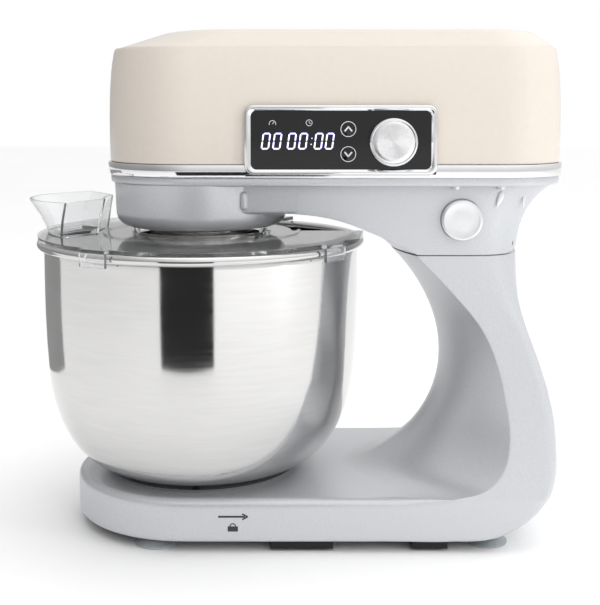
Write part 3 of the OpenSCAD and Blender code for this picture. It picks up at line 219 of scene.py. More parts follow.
def smooth_x(points, z):
    """Smooth curve through points given from the top down, as X over Z."""
    n = len(points)
    for i in range(n - 1):
        (x1, z1), (x2, z2) = points[i], points[i + 1]
        if z2 <= z <= z1:
            x0, z0 = points[max(0, i - 1)]
            x3, z3 = points[min(n - 1, i + 2)]
            t = (z1 - z) / (z1 - z2)
            m1 = (x2 - x0) / (z0 - z2) * (z1 - z2)
            m2 = (x3 - x1) / (z1 - z3) * (z1 - z2)
            return ((2 * t**3 - 3 * t**2 + 1) * x1 + (t**3 - 2 * t**2 + t) * m1
                    + (3 * t**2 - 2 * t**3) * x2 + (t**3 - t**2) * m2)
    return points[0][0] if z > points[0][1] else points[-1][0]


def in_metres(verts):
    return [tuple(c * MM for c in v) for v in verts]


def linked(name, mesh):
    """A new object in the scene that shows a mesh."""
    obj = bpy.data.objects.new(name, mesh)
    bpy.context.scene.collection.objects.link(obj)
    return obj


def make(name, part, mat, body, sharp=40, hides=()):
    """A piece from a part's vertices and faces in millimetres, riding on a body. Edges sharper than
    an angle in degrees stay sharp; hides names the CAD nodes that the piece stands for."""
    mesh = bpy.data.meshes.new(name)
    mesh.from_pydata(in_metres(part[0]), [], part[1])
    mesh.validate()
    mesh.update()
    for poly in mesh.polygons:
        poly.use_smooth = True
    mesh.set_sharp_from_angle(angle=math.radians(sharp))
    mesh.materials.append(mat)
    obj = linked(name, mesh)
    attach(obj, body)
    if hides:
        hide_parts(*hides)
    return obj


def quads(rings, closed):
    """Vertices and quads of rings of equal length; closed joins the last ring to the first."""
    n, faces = len(rings[0]), []
    for k in range(len(rings) if closed else len(rings) - 1):
        m = (k + 1) % len(rings)
        for i in range(n):
            j = (i + 1) % n
            faces.append((k * n + i, k * n + j, m * n + j, m * n + i))
    return [p for ring in rings for p in ring], faces


def loft(rings, low=True):
    """A body from rings counter-clockwise from above and listed upwards, with end faces."""
    n = len(rings[0])
    verts, faces = quads(rings, False)
    if low:
        faces.append(tuple(range(n - 1, -1, -1)))
    faces.append(tuple((len(rings) - 1) * n + i for i in range(n)))
    return verts, faces


def turn(profile, n=96, closed=True):
    """A solid of revolution round Z from (radius, height) points, listed so that the outside is on
    the right when going up. Points on the axis become one vertex."""
    verts, faces, rows = [], [], []
    for r, z in profile:
        if r < 1e-6:
            rows.append([len(verts)] * n)
            verts.append((0, 0, z))
        else:
            rows.append([len(verts) + i for i in range(n)])
            verts += [(r * math.cos(2 * math.pi * i / n), r * math.sin(2 * math.pi * i / n), z)
                      for i in range(n)]
    pairs = list(zip(rows, rows[1:])) + ([(rows[-1], rows[0])] if closed else [])
    for a, b in pairs:
        for i in range(n):
            j = (i + 1) % n
            face = []
            for v in (a[i], a[j], b[j], b[i]):
                if v not in face:
                    face.append(v)
            if len(face) > 2:
                faces.append(tuple(face))
    return verts, faces


def cut(obj, part):
    """Cuts a closed part, in millimetres, out of an object's mesh."""
    tool_mesh = bpy.data.meshes.new("cutter")
    tool_mesh.from_pydata(in_metres(part[0]), [], part[1])
    cutter = linked("cutter", tool_mesh)
    modifier = obj.modifiers.new("cut", "BOOLEAN")
    modifier.object, modifier.solver = cutter, "EXACT"
    bpy.context.view_layer.update()
    graph = bpy.context.evaluated_depsgraph_get()
    result = bpy.data.meshes.new_from_object(obj.evaluated_get(graph))
    obj.modifiers.clear()
    obj.data = result
    bpy.data.objects.remove(cutter)


def joined(*parts):
    """Several parts as one."""
    verts, faces = [], []
    for v, f in parts:
        k = len(verts)
        verts += v
        faces += [tuple(i + k for i in face) for face in f]
    return verts, faces


def placed(part, matrix):
    """A part moved by a matrix."""
    return [tuple(matrix @ Vector(v)) for v in part[0]], part[1]


def facing_front(x, y, z):
    """The matrix that turns a part's Z towards -Y, the side of the display, and moves it there."""
    return Matrix.Translation((x, y, z)) @ Matrix.Rotation(math.radians(90), 4, "X")


def rounded_box(low, high, r=0.6):
    """A box with a small chamfer on every edge."""
    (x0, y0, z0), (x1, y1, z1) = low, high
    rings = []
    for z, inset in ((z0, r), (z0 + r, 0), (z1 - r, 0), (z1, r)):
        a, b, d, e = x0 + inset, x1 - inset, y0 + inset, y1 - inset
        rings.append([(a + r, d, z), (b - r, d, z), (b, d + r, z), (b, e - r, z),
                      (b - r, e, z), (a + r, e, z), (a, e - r, z), (a, d + r, z)])
    return loft(rings)


SIDE_STEPS = 13


def outline(front, rear, half, corner, z, n=16):
    """Plan outline with a half-round front and two round rear corners."""
    start, end = front + half, rear - corner
    pts = []
    for i in range(4 * n + 1):
        a = math.radians(90 + 180 * i / (4 * n))
        pts.append((start + half * math.cos(a), half * math.sin(a), z))
    for k in range(1, SIDE_STEPS):
        pts.append((mix(start, end, k / SIDE_STEPS), -half, z))
    for a0, sy in ((-90, -1), (0, 1)):
        for i in range(n + 1):
            a = math.radians(a0 + 90 * i / n)
            pts.append((end + corner * math.cos(a),
                        sy * (half - corner) + corner * math.sin(a), z))
    for k in range(SIDE_STEPS - 1, 0, -1):
        pts.append((mix(start, end, k / SIDE_STEPS), half, z))
    return pts


# ---- stand ----------------------------------------------------------------------------------
SPLIT = 187.2           # top of the column
NECK_HALF = 50          # half the column's width at its top
BASE_HALF = 80
BASE_Z0, BASE_TOP = 7, 35
BASE_EDGE = 5           # radius of the base's top edge
BASE_AXIS_X = -7        # centre of the base's half-round front
REAR_R, REAR_AXIS_X, REAR_AXIS_Z = 52, 182, 59
CREASE_FOOT = 165       # where the crease meets the base's side
NOSE = (bez((131, SPLIT), (152, 166), (165, 140), (165, 113), 24)
        + bez((165, 113), (165, 88), (152, 66), (138, 55), 16)[1:]
        + bez((138, 55), (124, 44), (112, 36), (96, BASE_TOP), 12)[1:])
CREASE = [(143.5, SPLIT), (167, 163), (186, 140), (196, 117), (200.5, 96), (203, 76),
          (202.4, 64), (199.3, 53), (192.5, 44), (182, 38), (CREASE_FOOT, BASE_TOP)]
REAR = [(213.5, SPLIT), (212.6, 170), (213.2, 155), (216.5, 140), (221.5, 126), (226, 113),
        (230, 99), (233, 84), (234, 72), (REAR_AXIS_X + REAR_R, REAR_AXIS_Z)]
SEAT_R = 66.05          # round seat in the base for the bowl's lock ring
SEAT_Z = 30
NOSE_STEPS, SIDE_RUN, CORNER_STEPS, BACK_STEPS = 40, 12, 10, 4


def rear_x(z):
    """Rear of the stand at a height: a curve above, an arc at the base."""
    if z > REAR_AXIS_Z:
        return smooth_x(REAR, z)
    return REAR_AXIS_X + math.sqrt(max(0, REAR_R**2 - max(0, REAR_AXIS_Z - z) ** 2))


def half_width(z):
    return mix(NECK_HALF, BASE_HALF, clamp((SPLIT - z) / (SPLIT - BASE_TOP)) ** 2)


def corner_r(z):
    """Radius of the rear corners, which turn rounder above the waist."""
    waist = 138
    return 7 + 24 * clamp((z - waist) / (SPLIT - waist)) ** 1.1


def scoop(front, crease, w, z):
    """The hollow side between the nose and the crease, as points from a share of the way."""
    def point(t):
        a = math.radians(90 * t)
        return (crease - (crease - front) * math.cos(a) ** 2, -w * math.sin(a) ** 1.15, z)
    return point


def base_front(z, inset):
    """Front line of the base from its middle round to the crease's foot."""
    turn_length = math.pi / 2 * BASE_HALF
    radius = BASE_HALF - inset

    def point(t):
        s = t * (turn_length + CREASE_FOOT - BASE_AXIS_X)
        if s < turn_length:
            a = s / BASE_HALF
            return (BASE_AXIS_X - radius * math.cos(a), -radius * math.sin(a), z)
        x = BASE_AXIS_X + s - turn_length
        fade = 30
        return (x, -BASE_HALF + inset * clamp((CREASE_FOOT - x) / fade), z)
    return point


def half_ring(line, crease, rear, w, r, z, bulge=2.0):
    """Near half of a section: a line to the crease, on to the rear corner, and to the middle."""
    pts = [line(i / NOSE_STEPS) for i in range(NOSE_STEPS)]
    for i in range(SIDE_RUN):
        pts.append((mix(crease, rear - r, i / SIDE_RUN), -w, z))
    for i in range(CORNER_STEPS):
        a = math.radians(90 * i / CORNER_STEPS)
        pts.append((rear - r + r * math.sin(a), -(w - r) - r * math.cos(a), z))
    for i in range(BACK_STEPS + 1):
        y = -(w - r) * (1 - i / BACK_STEPS)
        pts.append((rear + bulge * (1 - (y / (w - r)) ** 2), y, z))
    return pts


def full_ring(near, passes=2):
    """Both halves, counter-clockwise from above, with the corners eased."""
    ring = near + [(x, -y, z) for x, y, z in reversed(near[1:-1])]
    n = len(ring)
    for _ in range(passes):
        ring = [tuple(0.25 * ring[i - 1][k] + 0.5 * ring[i][k] + 0.25 * ring[(i + 1) % n][k]
                      for k in range(3)) for i in range(n)]
    return ring


def base_rings():
    """The base's side, its rounded top edge, and its top in towards the column's foot."""
    rings = []
    for z, inset in ((BASE_Z0, 2.2), (7.4, 1.2), (8.2, 0.5), (9.5, 0.1), (12, 0), (18, 0), (24, 0),
                     (29, 0)):
        rings.append(half_ring(base_front(z, inset), CREASE_FOOT, rear_x(z) - inset,
                               BASE_HALF - inset, 9, z, 0))
    for k in range(1, 7):
        a = math.radians(15 * k)
        z = BASE_TOP - BASE_EDGE + BASE_EDGE * math.sin(a)
        inset = BASE_EDGE * (1 - math.cos(a))
        rings.append(half_ring(base_front(z, inset), CREASE_FOOT, rear_x(z), BASE_HALF, 8.5, z, 0))
    back = (CREASE_FOOT, rear_x(BASE_TOP), BASE_HALF, 8, BASE_TOP)
    edge = half_ring(base_front(BASE_TOP, BASE_EDGE), *back, 0)
    root = half_ring(scoop(96, CREASE_FOOT, BASE_HALF, BASE_TOP), *back, 1)
    for t in (0.06, 0.3, 0.55, 0.75, 0.9):
        rings.append([tuple(mix(p[k], q[k], t) for k in range(3)) for p, q in zip(edge, root)])
    return rings


def column_rings():
    levels = [35.05, 35.3, 35.8, 36.6, 37.6, 39, 40.7, 42.6, 45, 48, 51.5, 55.5]
    levels += [60 + 4.2 * k for k in range(30)]
    rings = []
    for z in [v for v in levels if v < SPLIT - 1.6] + [SPLIT - 1.2, SPLIT - 0.3, SPLIT]:
        inset = 0.35 if z == SPLIT else 0
        w = half_width(z) - inset
        front = x_at(NOSE, z)
        crease = max(smooth_x(CREASE, z), front + 6)
        rings.append(half_ring(scoop(front + inset, crease, w, z), crease, rear_x(z) - inset, w,
                               corner_r(z), z))
    return rings


stand = make("stand", loft([full_ring(ring) for ring in base_rings() + column_rings()]), silver,
             "stand", 50, ["stand_shell"])
cut(stand, turn([(0, SEAT_Z), (SEAT_R, SEAT_Z), (SEAT_R, 45), (0, 45)], 96, False))

# ---- bowl -----------------------------------------------------------------------------------
ROUND = bez((58, 38), (83.6, 39), (103, 66), (106, 112), 40)    # from the bowl's floor to its wall
RIM_R, RIM_Z, ROLL_R = 109.2, 192, 3
outer = [(0, 38)] + ROUND + [(106.9, 128), (107.4, 145), (107.6, 160), (107.6, 186),
                             (107.7, 188.3)]
roll = []
for k in range(14):
    a = math.radians(-125 + 22.5 * k)
    roll.append((RIM_R + ROLL_R * math.cos(a), RIM_Z + ROLL_R * math.sin(a)))
inner = ([(106.6, 188.6), (106.6, 160), (106.4, 145), (105.9, 128)]
         + [(r - 1, z + (0.9 if z < 60 else 0.4)) for r, z in reversed(ROUND)] + [(0, 38.9)])
make("bowl", turn(outer + roll + inner, 160, False), steel, "bowl", 50, ["mixing_bowl"])

# ---- head: lip, drum and neck ---------------------------------------------------------------
HALF, FRONT, REARX, REAR_CORNER = 59.5, -62.5, 243, 46
NECK_Z = 187.7          # underside of the neck
NECK_TOP = 233.3
NECK_WALL = 3
PIN_X, PIN_Z = 204, 194
TILT = math.radians(30)
BUTTON_X, BUTTON_Z = 172.5, 210.9
UNDER = bez((62, 214.5), (95, 213.2), (115, 203), (131, NECK_Z), 20)
BACK = bez((239, 232), (221, 221), (215, 205), (213.5, NECK_Z), 20)


def head_ring(z, inset):
    return outline(FRONT + inset, REARX - inset, HALF - inset, REAR_CORNER - inset, z)


def neck_half(z, skin=0.0):
    """Near half of the neck's section at a height, drawn inwards by a skin."""
    front = x_at(UNDER, z) + skin
    crease = front + 12.5 * clamp((204.5 - z) / 17) ** 1.1 + 1.2
    w = NECK_HALF - skin
    r = mix(31, 42, clamp((z - SPLIT) / 45)) - skin
    return half_ring(scoop(front, crease, w, z), crease, x_at(BACK, z) - skin, w, r, z, 1.0)


def neck_part():
    """The neck's shell, its rear corner underneath cut away so that the head can tilt back."""
    levels = [NECK_Z, 187.9, 188.8] + [190 + 2.2 * k for k in range(9)]
    levels += [209, 210.4, 211.6, 212.5, 213.2, 213.8, 214.2, 214.45]
    levels += [216, 219, 222, 225, 228, 230.5, 232.2, NECK_TOP]
    outside = [full_ring(neck_half(z, 0.4 if z == NECK_Z else 0)) for z in levels]
    inside = [full_ring(neck_half(z, NECK_WALL)) for z in levels]
    verts, faces = quads(outside + inside[::-1], True)
    relieved = []
    for x, y, z in verts:
        plane = PIN_Z + (-6.45 + (x - PIN_X) * math.sin(TILT)) / math.cos(TILT)
        relieved.append((x, y, max(z, plane) if x > PIN_X else z))
    return relieved, faces


def neck_floor():
    """Plate that closes the neck underneath, in front of the hinge."""
    ring = [(min(x, 150), y, z) for x, y, z in full_ring(neck_half(NECK_Z + 0.05, 2.9))]
    return loft([ring, [(x, y, 190.1) for x, y, z in ring]])


def cheek():
    """Thin wall that joins the neck's near side to the drum."""
    rings = []
    for z, inset in ((214.6, 2), (214.9, 1.1), (215.6, 0.35), (216.8, 0), (NECK_TOP, 0)):
        y = -50.3 + inset
        rings.append([(30.2, y, z), (66, y, z), (66, -47.6, z), (31.6, -47.6, z)])
    return loft(rings)


def mirrored(part):
    return [(x, -y, z) for x, y, z in part[0]], [face[::-1] for face in part[1]]


def bridge():
    """Thin floor between the cheeks, round the drum."""
    corners = [(31.6, -48.3), (68, -48.3), (68, 48.3), (31.6, 48.3)]
    arc = [(57 * math.cos(math.radians(a)), 57 * math.sin(math.radians(a)))
           for a in range(57, -58, -3)]
    return loft([[(x, y, z) for x, y in corners + arc] for z in (214.6, 216.4)])


lip = quads([head_ring(z, inset) for z, inset in (
    (233, 2.2), (233.25, 1.5), (234, 0.95), (235.2, 0.8), (238, 0.8), (238.45, 1.1),
    (238.45, 3.8), (235.5, 3.8), (235.5, 11), (233, 11))], True)
drum = turn([(39, 205.5), (39, 203.4), (39.5, 203)]
            + bez((48.5, 203), (54, 203), (58.5, 207.5), (58.5, 213), 14)
            + [(58.75, 220), (59.1, 228), (59.3, 233.4), (55.5, 233.4), (55.5, 213),
               (53, 207.5), (48.5, 205.5)], 128)
rib = turn([(0, 0), (1.2, 0.2), (2.1, 1.2), (2.4, 2.6), (2.4, 9.6), (2.1, 11), (1.2, 12),
            (0, 12.2)], 24, False)
ribs = [placed(rib, Matrix.Translation((31.6, y, 217))) for y in (-50.6, 50.6)]
make("head_body", joined(lip, drum, neck_floor(), cheek(), mirrored(cheek()), bridge(), *ribs),
     silver, "head", 42, ["head_housing"])
neck_shell = make("neck_shell", neck_part(), silver, "head", 42)
button_bore = turn([(0, 0), (13.7, 0), (13.7, 12), (0, 12)], 64, False)
cut(neck_shell, placed(button_bore, facing_front(BUTTON_X, -41.5, BUTTON_Z)))
lug = placed(turn([(3.05, -28), (6.0, -28), (6.3, -27.7), (6.3, 27.7), (6.0, 28), (3.05, 28)], 40),
             facing_front(PIN_X, 0, PIN_Z))
web = rounded_box((201, -27.8, 195), (212.3, 27.8, 216))
beam = rounded_box((188, -47.5, 203), (191, 47.5, 211))
guide = joined(rounded_box((158, -24, 202.4), (191, -21, 219.8), 0.4),
               rounded_box((158, -24, 196), (180.1, -21, 202.4), 0.4),
               rounded_box((184.9, -24, 196), (191, -21, 202.4), 0.4))
make("hinge_tube", joined(lug, web, beam, guide), silver, "head", 40)

# ---- head: cover and band -------------------------------------------------------------------
CX, CZ = 93.8, 262.9        # centre of the display
BAND_GAP = 60.2             # half the stretch that the display takes out of the band
SHOULDER_Z, SHOULDER = 321.6, 4.1
CROWN_Z, CROWN = 333, (40, 14, 20, 12)


def cover_ring(z, front, side, rear, corner):
    return outline(FRONT + front, REARX - rear, HALF - side, REAR_CORNER - corner, z, 20)


def cover_part():
    """The cover's side, its sloping shoulder and its nearly flat top."""
    rings = []
    for z, inset in ((247.15, 1.6), (247.25, 0.95), (247.8, 0.6), (252, 0.45), (260, 0.32),
                     (268, 0.3), (276, 0.35), (284, 0.5), (292, 0.75), (300, 1.2), (307, 1.75),
                     (313, 2.5), (318, 3.35), (320.3, 3.8), (321.2, 4.05)):
        rings.append(cover_ring(z, inset, inset, inset, inset))
    for t, lift in ((0.025, 0.5), (0.06, 0.2), (0.3, 0.15), (0.6, 0.1), (0.85, 0.1), (0.96, 0)):
        rings.append(cover_ring(mix(SHOULDER_Z, CROWN_Z, t) + lift,
                                *[mix(SHOULDER, inset, t) for inset in CROWN]))
    for insets in ((333.25, 42.5, 16, 22.5, 14), (334.1, 50, 24, 30, 22), (334.7, 58, 34, 40, 31),
                   (335, 70, 48, 60, 43)):
        rings.append(cover_ring(*insets))
    return loft(rings, False)


def strip(order, profile, ends):
    """A closed profile swept along part of the head's outline, its first and last X given."""
    verts, faces = [], []
    for i in order:
        for z, inset in profile:
            x, y, _ = head_ring(z, inset)[i]
            x = ends[0] if i == order[0] else ends[1] if i == order[-1] else x
            verts.append((x, y, z))
    m, rows = len(profile), len(order)
    for k in range(rows - 1):
        for j in range(m):
            q = (j + 1) % m
            faces.append((k * m + j, (k + 1) * m + j, (k + 1) * m + q, k * m + q))
    faces.append(tuple(range(m)))
    faces.append(tuple((rows - 1) * m + j for j in range(m - 1, -1, -1)))
    return verts, faces


def band_part():
    """The bright band, full height round the head and low under the display."""
    x0, x1 = CX - BAND_GAP, CX + BAND_GAP
    ring = head_ring(0, 0)
    near = [i for i, point in enumerate(ring) if point[1] < -59]
    first = min(i for i in near if ring[i][0] > x1 - 2)
    last = max(i for i in near if ring[i][0] < x0 + 2 and i < first)
    foot = [(238.55, 0.3), (238.7, -0.55), (239.2, -0.95)]
    full = foot + [(242.8, -1.0), (246.3, -0.95), (246.85, -0.55), (247, 0.3), (247, 2.3),
                   (238.55, 2.3)]
    low = foot + [(241, -0.95), (241, 2.3), (238.55, 2.3)]
    order = list(range(first, len(ring))) + list(range(last + 1))
    return joined(strip(order, full, (x1 + 0.4, x0 - 0.4)),
                  strip(list(range(last, first + 1)), low, (x0 - 0.45, x1 + 0.45)))


cover = make("head_cover_shell", cover_part(), cream, "head", 30, ["head_cover"])
wall = cover.modifiers.new("wall", "SOLIDIFY")
wall.thickness, wall.offset = 0.0028, -1
make("trim_band_ring", band_part(), chrome, "head", 40, ["trim_band"])

# ---- display --------------------------------------------------------------------------------
BEZEL_W, BEZEL_H = 123, 44.8
FACE_Y = -61.8          # front of the window
KEY_FACE_Y = -62.18
KEY_X = 98.4
PRINT = 0.14            # thickness of what is printed on the window
DIGIT_W, DIGIT_H, DIGIT_Z0 = 4.3, 9.6, 257.5
SLANT = 0.14
KNOB_X, KNOB_Z = 126.4, 261.9


def plate_ring(w, h, r, y, n=8):
    """Round-cornered rectangle in X and Z at a depth, counter-clockwise seen from -Y."""
    pts = []
    for sx, sz, a0 in ((1, 1, 0), (-1, 1, 90), (-1, -1, 180), (1, -1, 270)):
        for i in range(n + 1):
            a = math.radians(a0 + 90 * i / n)
            pts.append((CX + sx * (w / 2 - r) + r * math.cos(a), y,
                        CZ + sz * (h / 2 - r) + r * math.sin(a)))
    return pts


def bezel_part():
    """The bright frame: how far in each ring lies in width and height, its corner and its depth."""
    profile = [(3.2, 3.2, 5, -54), (3.2, 3.2, 5, -60.5), (0.4, 0.4, 6, -60.55), (0, 0, 6.2, -60.9),
               (0, 0, 6.2, -61.7), (0.7, 0.7, 5.9, -62.5), (2.2, 2.2, 5.2, -63),
               (4.4, 4.2, 4.6, -63), (6.6, 6, 4, -62.6), (8.2, 7.4, 3.6, -61.75),
               (8.8, 7.9, 3.4, -61.6), (12.8, 11.9, 2.5, -59.6), (12.8, 11.9, 2.5, -54)]
    verts, faces = quads([plate_ring(BEZEL_W - dw, BEZEL_H - dh, r, y)
                          for dw, dh, r, y in profile], True)
    return verts, [(face[0],) + face[:0:-1] for face in faces]      # turned outwards


def segment(x, z, length, thick, flat):
    """One slanted bar of a seven-segment digit, with pointed ends."""
    h, t = length / 2, thick / 2
    middle = DIGIT_Z0 + DIGIT_H / 2
    pts = [(-h, 0), (-h + t, -t), (h - t, -t), (h, 0), (h - t, t), (-h + t, t)]
    if not flat:
        pts = [(-q, p) for p, q in pts]
    verts = []
    for y in (FACE_Y + 0.02, FACE_Y - 0.12):
        verts += [(x + p + SLANT * (z + q - middle), y, z + q) for p, q in pts]
    faces = [(i, i + 6, (i + 1) % 6 + 6, (i + 1) % 6) for i in range(6)]
    return verts, faces + [tuple(range(6)), tuple(range(11, 5, -1))]


def zero(x):
    """The digit nought: two level bars and four upright ones."""
    bars = [segment(x, DIGIT_Z0 + dz, DIGIT_W - 0.35, 0.95, True) for dz in (0, DIGIT_H)]
    for dz in (DIGIT_H / 4, 3 * DIGIT_H / 4):
        for dx in (-DIGIT_W / 2, DIGIT_W / 2):
            bars.append(segment(x + dx, DIGIT_Z0 + dz, DIGIT_H / 2 - 0.35, 0.95, False))
    return joined(*bars)


def bar(points, width, y, depth=PRINT):
    """A thin raised line through points in X and Z."""
    parts = []
    for (x0, z0), (x1, z1) in zip(points, points[1:]):
        d = math.hypot(x1 - x0, z1 - z0)
        e = width / 2
        ux, uz = e * (x1 - x0) / d, e * (z1 - z0) / d
        lap = 0.4
        q = [(x0 - lap * ux - uz, z0 - lap * uz + ux), (x0 - lap * ux + uz, z0 - lap * uz - ux),
             (x1 + lap * ux + uz, z1 + lap * uz - ux), (x1 + lap * ux - uz, z1 + lap * uz + ux)]
        verts = [(x, y, z) for x, z in q] + [(x, y - depth, z) for x, z in q]
        faces = [(3, 2, 1, 0), (4, 5, 6, 7)]
        faces += [(i, (i + 1) % 4, (i + 1) % 4 + 4, i + 4) for i in range(4)]
        parts.append((verts, faces))
    return joined(*parts)


def flat_ring(cx, cz, r, width, y, depth=PRINT, a0=0, a1=360, n=48):
    """A raised flat ring, or an arc of one with its ends closed."""
    whole = a1 - a0 >= 360
    rows = []
    for i in range(n if whole else n + 1):
        a = math.radians(mix(a0, a1, i / n))
        c, s = math.cos(a), math.sin(a)
        ro, ri = r + width / 2, r - width / 2
        rows.append([(cx + ro * c, y, cz + ro * s), (cx + ro * c, y - depth, cz + ro * s),
                     (cx + ri * c, y - depth, cz + ri * s), (cx + ri * c, y, cz + ri * s)])
    verts, faces = [p for row in rows for p in row], []
    for i in range(n):
        j = (i + 1) % len(rows)
        for k in range(4):
            m = (k + 1) % 4
            faces.append((i * 4 + k, j * 4 + k, j * 4 + m, i * 4 + m))
    if not whole:
        faces += [(3, 2, 1, 0), tuple((len(rows) - 1) * 4 + k for k in range(4))]
    return verts, faces


make("display_frame", bezel_part(), chrome, "head", 35, ["display_bezel"])
noughts = [zero(x) for x in (46.2, 53.4, 62.6, 69.8, 79.6, 86.6)]
colon = [segment(75.1, DIGIT_Z0 + dz, 0.9, 0.9, True) for dz in (2.8, 6.6)]
make("display_digits", joined(*noughts, *colon), digits, "head", 30)
speed_icon = joined(flat_ring(50.4, 273.2, 2.1, 0.32, FACE_Y, a0=-20, a1=200, n=24),
                    bar([(50.4, 273.2), (51.5, 274.6)], 0.32, FACE_Y))
time_icon = joined(flat_ring(73.6, 273.9, 1.9, 0.32, FACE_Y),
                   bar([(73.6, 275.1), (73.6, 273.9), (74.5, 273.4)], 0.3, FACE_Y))
make("display_icons", joined(speed_icon, time_icon), marks, "head", 30)
key_cap = turn([(0, 0), (6.2, 0), (6.2, 0.8), (5.2, 0.8), (5.2, 3.45), (5.05, 3.7), (4.6, 3.8),
                (0, 3.8), (0, 0.4)], 48, False)
for name, node, z, way in (("up_key", "up_button", 269.9, 1), ("down_key", "down_button", 254.1, -1)):
    make(name + "_cap", placed(key_cap, facing_front(KEY_X, -58.4, z)), glossy, name, 40, [node])
    chevron = [(KEY_X - 2.2, z - way * 1.2), (KEY_X, z + way * 1.5), (KEY_X + 2.2, z - way * 1.2)]
    sign = joined(flat_ring(KEY_X, z, 4.75, 0.42, KEY_FACE_Y), bar(chevron, 0.95, KEY_FACE_Y))
    make(name + "_sign", sign, marks, name, 30)

# ---- knob and release button ----------------------------------------------------------------
knob = turn([(0, -2), (3, -2), (3, 10.2), (14.6, 10.2), (15.0, 10.5), (15.1, 11), (15.1, 19.2),
             (14.95, 19.8), (14.5, 20.2), (13.9, 20.3), (13.45, 20.1), (13.3, 19.7), (13.3, 19.0),
             (0, 19.0)], 96, False)
make("knob_body", placed(knob, facing_front(KNOB_X, -52.7, KNOB_Z)), chrome, "speed_dial", 40,
     ["speed_knob"])
# The brushed face keeps its own axes, for the brushing runs round its Z
knob_face = turn([(0, 0), (13.2, 0), (13.2, 1.1), (12.9, 1.35), (10, 1.4), (0, 1.45)], 128, False)
face = make("knob_face", knob_face, brushed, "speed_dial", 40, ["knob_cap"])
face.matrix_world = facing_front(KNOB_X * MM, -71.8 * MM, KNOB_Z * MM)
push = turn([(0, 0), (13.2, 0), (13.4, 0.3), (13.4, 9.6), (13.2, 10.3), (12.7, 10.8), (12.0, 11.0),
             (11.2, 10.9), (10.6, 10.75), (6, 10.85), (0, 10.9)], 96, False)
make("release_cap", placed(push, facing_front(BUTTON_X, -44, BUTTON_Z)), satin, "release", 40,
     ["release_button"])

# ---- clear feed chute -----------------------------------------------------------------------
CHUTE_WALL = 1.8
# Height, inner and outer radius, swell of the outer wall, half angles inside and outside
CHUTE = [(198.5, 71, 98, 8, 16, 23), (204, 70, 98, 10, 16, 24), (209, 69, 98, 12.4, 15.6, 25.4),
         (213, 68, 98, 15, 15, 27), (217, 67, 98, 17.6, 14.6, 28.5),
         (220, 66.2, 98, 19.6, 14.1, 29.7), (221.5, 66, 98, 20, 14, 30)]


def chute_ring(r_in, r_out, swell, in_deg, out_deg, z, n=28):
    """A section of the chute: a swelling arc outside and a plain arc inside, round the bowl."""
    pts = []
    for i in range(-n, n + 1):
        a = math.radians(180 + i * out_deg / n)
        r = r_out + swell * math.cos(math.radians(i * 90 / n))
        pts.append((r * math.cos(a), r * math.sin(a), z))
    for i in range(n, -n - 1, -2):
        a = math.radians(180 + i * in_deg / n)
        pts.append((r_in * math.cos(a), r_in * math.sin(a), z))
    return pts


def chute_section(z):
    """The chute's values at a height."""
    for (z0, *a), (z1, *b) in zip(CHUTE, CHUTE[1:]):
        if z0 <= z <= z1:
            return [mix(p, q, (z - z0) / (z1 - z0)) for p, q in zip(a, b)]


def chute_part():
    """The chute outside from its port upwards, over its rim and down inside."""
    port = (196.1, 198.4)
    levels = (198.5, 200, 202, 204, 206.5, 209, 211, 213, 215, 217, 218.6, 220, 221, 221.5)
    rings = [chute_ring(74.3, 95.7, 7, 14.7, 20.7, z) for z in port]
    rings += [chute_ring(*chute_section(z), z) for z in levels]
    for z in reversed(levels):
        r_in, r_out, swell, in_deg, out_deg = chute_section(z)
        rings.append(chute_ring(r_in + CHUTE_WALL, r_out - CHUTE_WALL, swell, in_deg - 1.3,
                                out_deg - 1.2, z))
    rings += [chute_ring(76.1, 93.9, 7, 13.4, 19.5, z) for z in reversed(port)]
    return quads(rings, True)


make("chute_shell", chute_part(), clear, "chute", 30, ["feed_chute"])

# ---- marks on the base: an arrow over a closed padlock --------------------------------------
MARK_Y, MARK_T = -79.98, 0.12
arrow = joined(bar([(16, 24.2), (32.5, 24.2)], 1.25, MARK_Y, MARK_T),
               bar([(31.2, 26), (34.4, 24.2), (31.2, 22.4)], 0.95, MARK_Y, MARK_T))
padlock = joined(bar([(22.4, 16.2), (27.6, 16.2)], 3.4, MARK_Y, MARK_T),
                 flat_ring(25, 17.9, 1.7, 0.7, MARK_Y, MARK_T, 0, 180, 20))
make("lock_sign", joined(arrow, padlock), ink, "stand", 30)


# ---- slots at the rear of the neck ----------------------------------------------------------
def drop(length, width, depth, n=20):
    """A drop-shaped inlay with a rounded rim."""
    rings = []
    for h, share in ((0, 1.0), (depth, 1.0), (depth * 1.5, 0.86)):
        ring = []
        for i in range(n):
            a = 2 * math.pi * i / n
            taper = 0.675 + 0.325 * math.sin(a)
            ring.append((share * width / 2 * math.cos(a) * taper, share * length / 2 * math.sin(a), h))
        rings.append(ring)
    return loft(rings)


def slot_place(side, x, y, z, yaw, lean):
    """The matrix of a slot on one side of the neck, turned to the wall and leaning with it."""
    spin = -lean if side < 0 else 180 + lean
    return (Matrix.Translation((x, side * y, z))
            @ Matrix.Rotation(math.radians(-side * yaw), 4, "Z")
            @ Matrix.Rotation(math.radians(-side * 90), 4, "X")
            @ Matrix.Rotation(math.radians(spin), 4, "Z"))


slots = []
for side in (-1, 1):
    for place in ((197, 50.0, 224, 0, 20), (214.6, 40.6, 223, 42, 14)):
        slots.append(placed(drop(11, 4.6, 0.25), slot_place(side, *place)))
make("neck_slots", joined(*slots), satin, "head", 30)

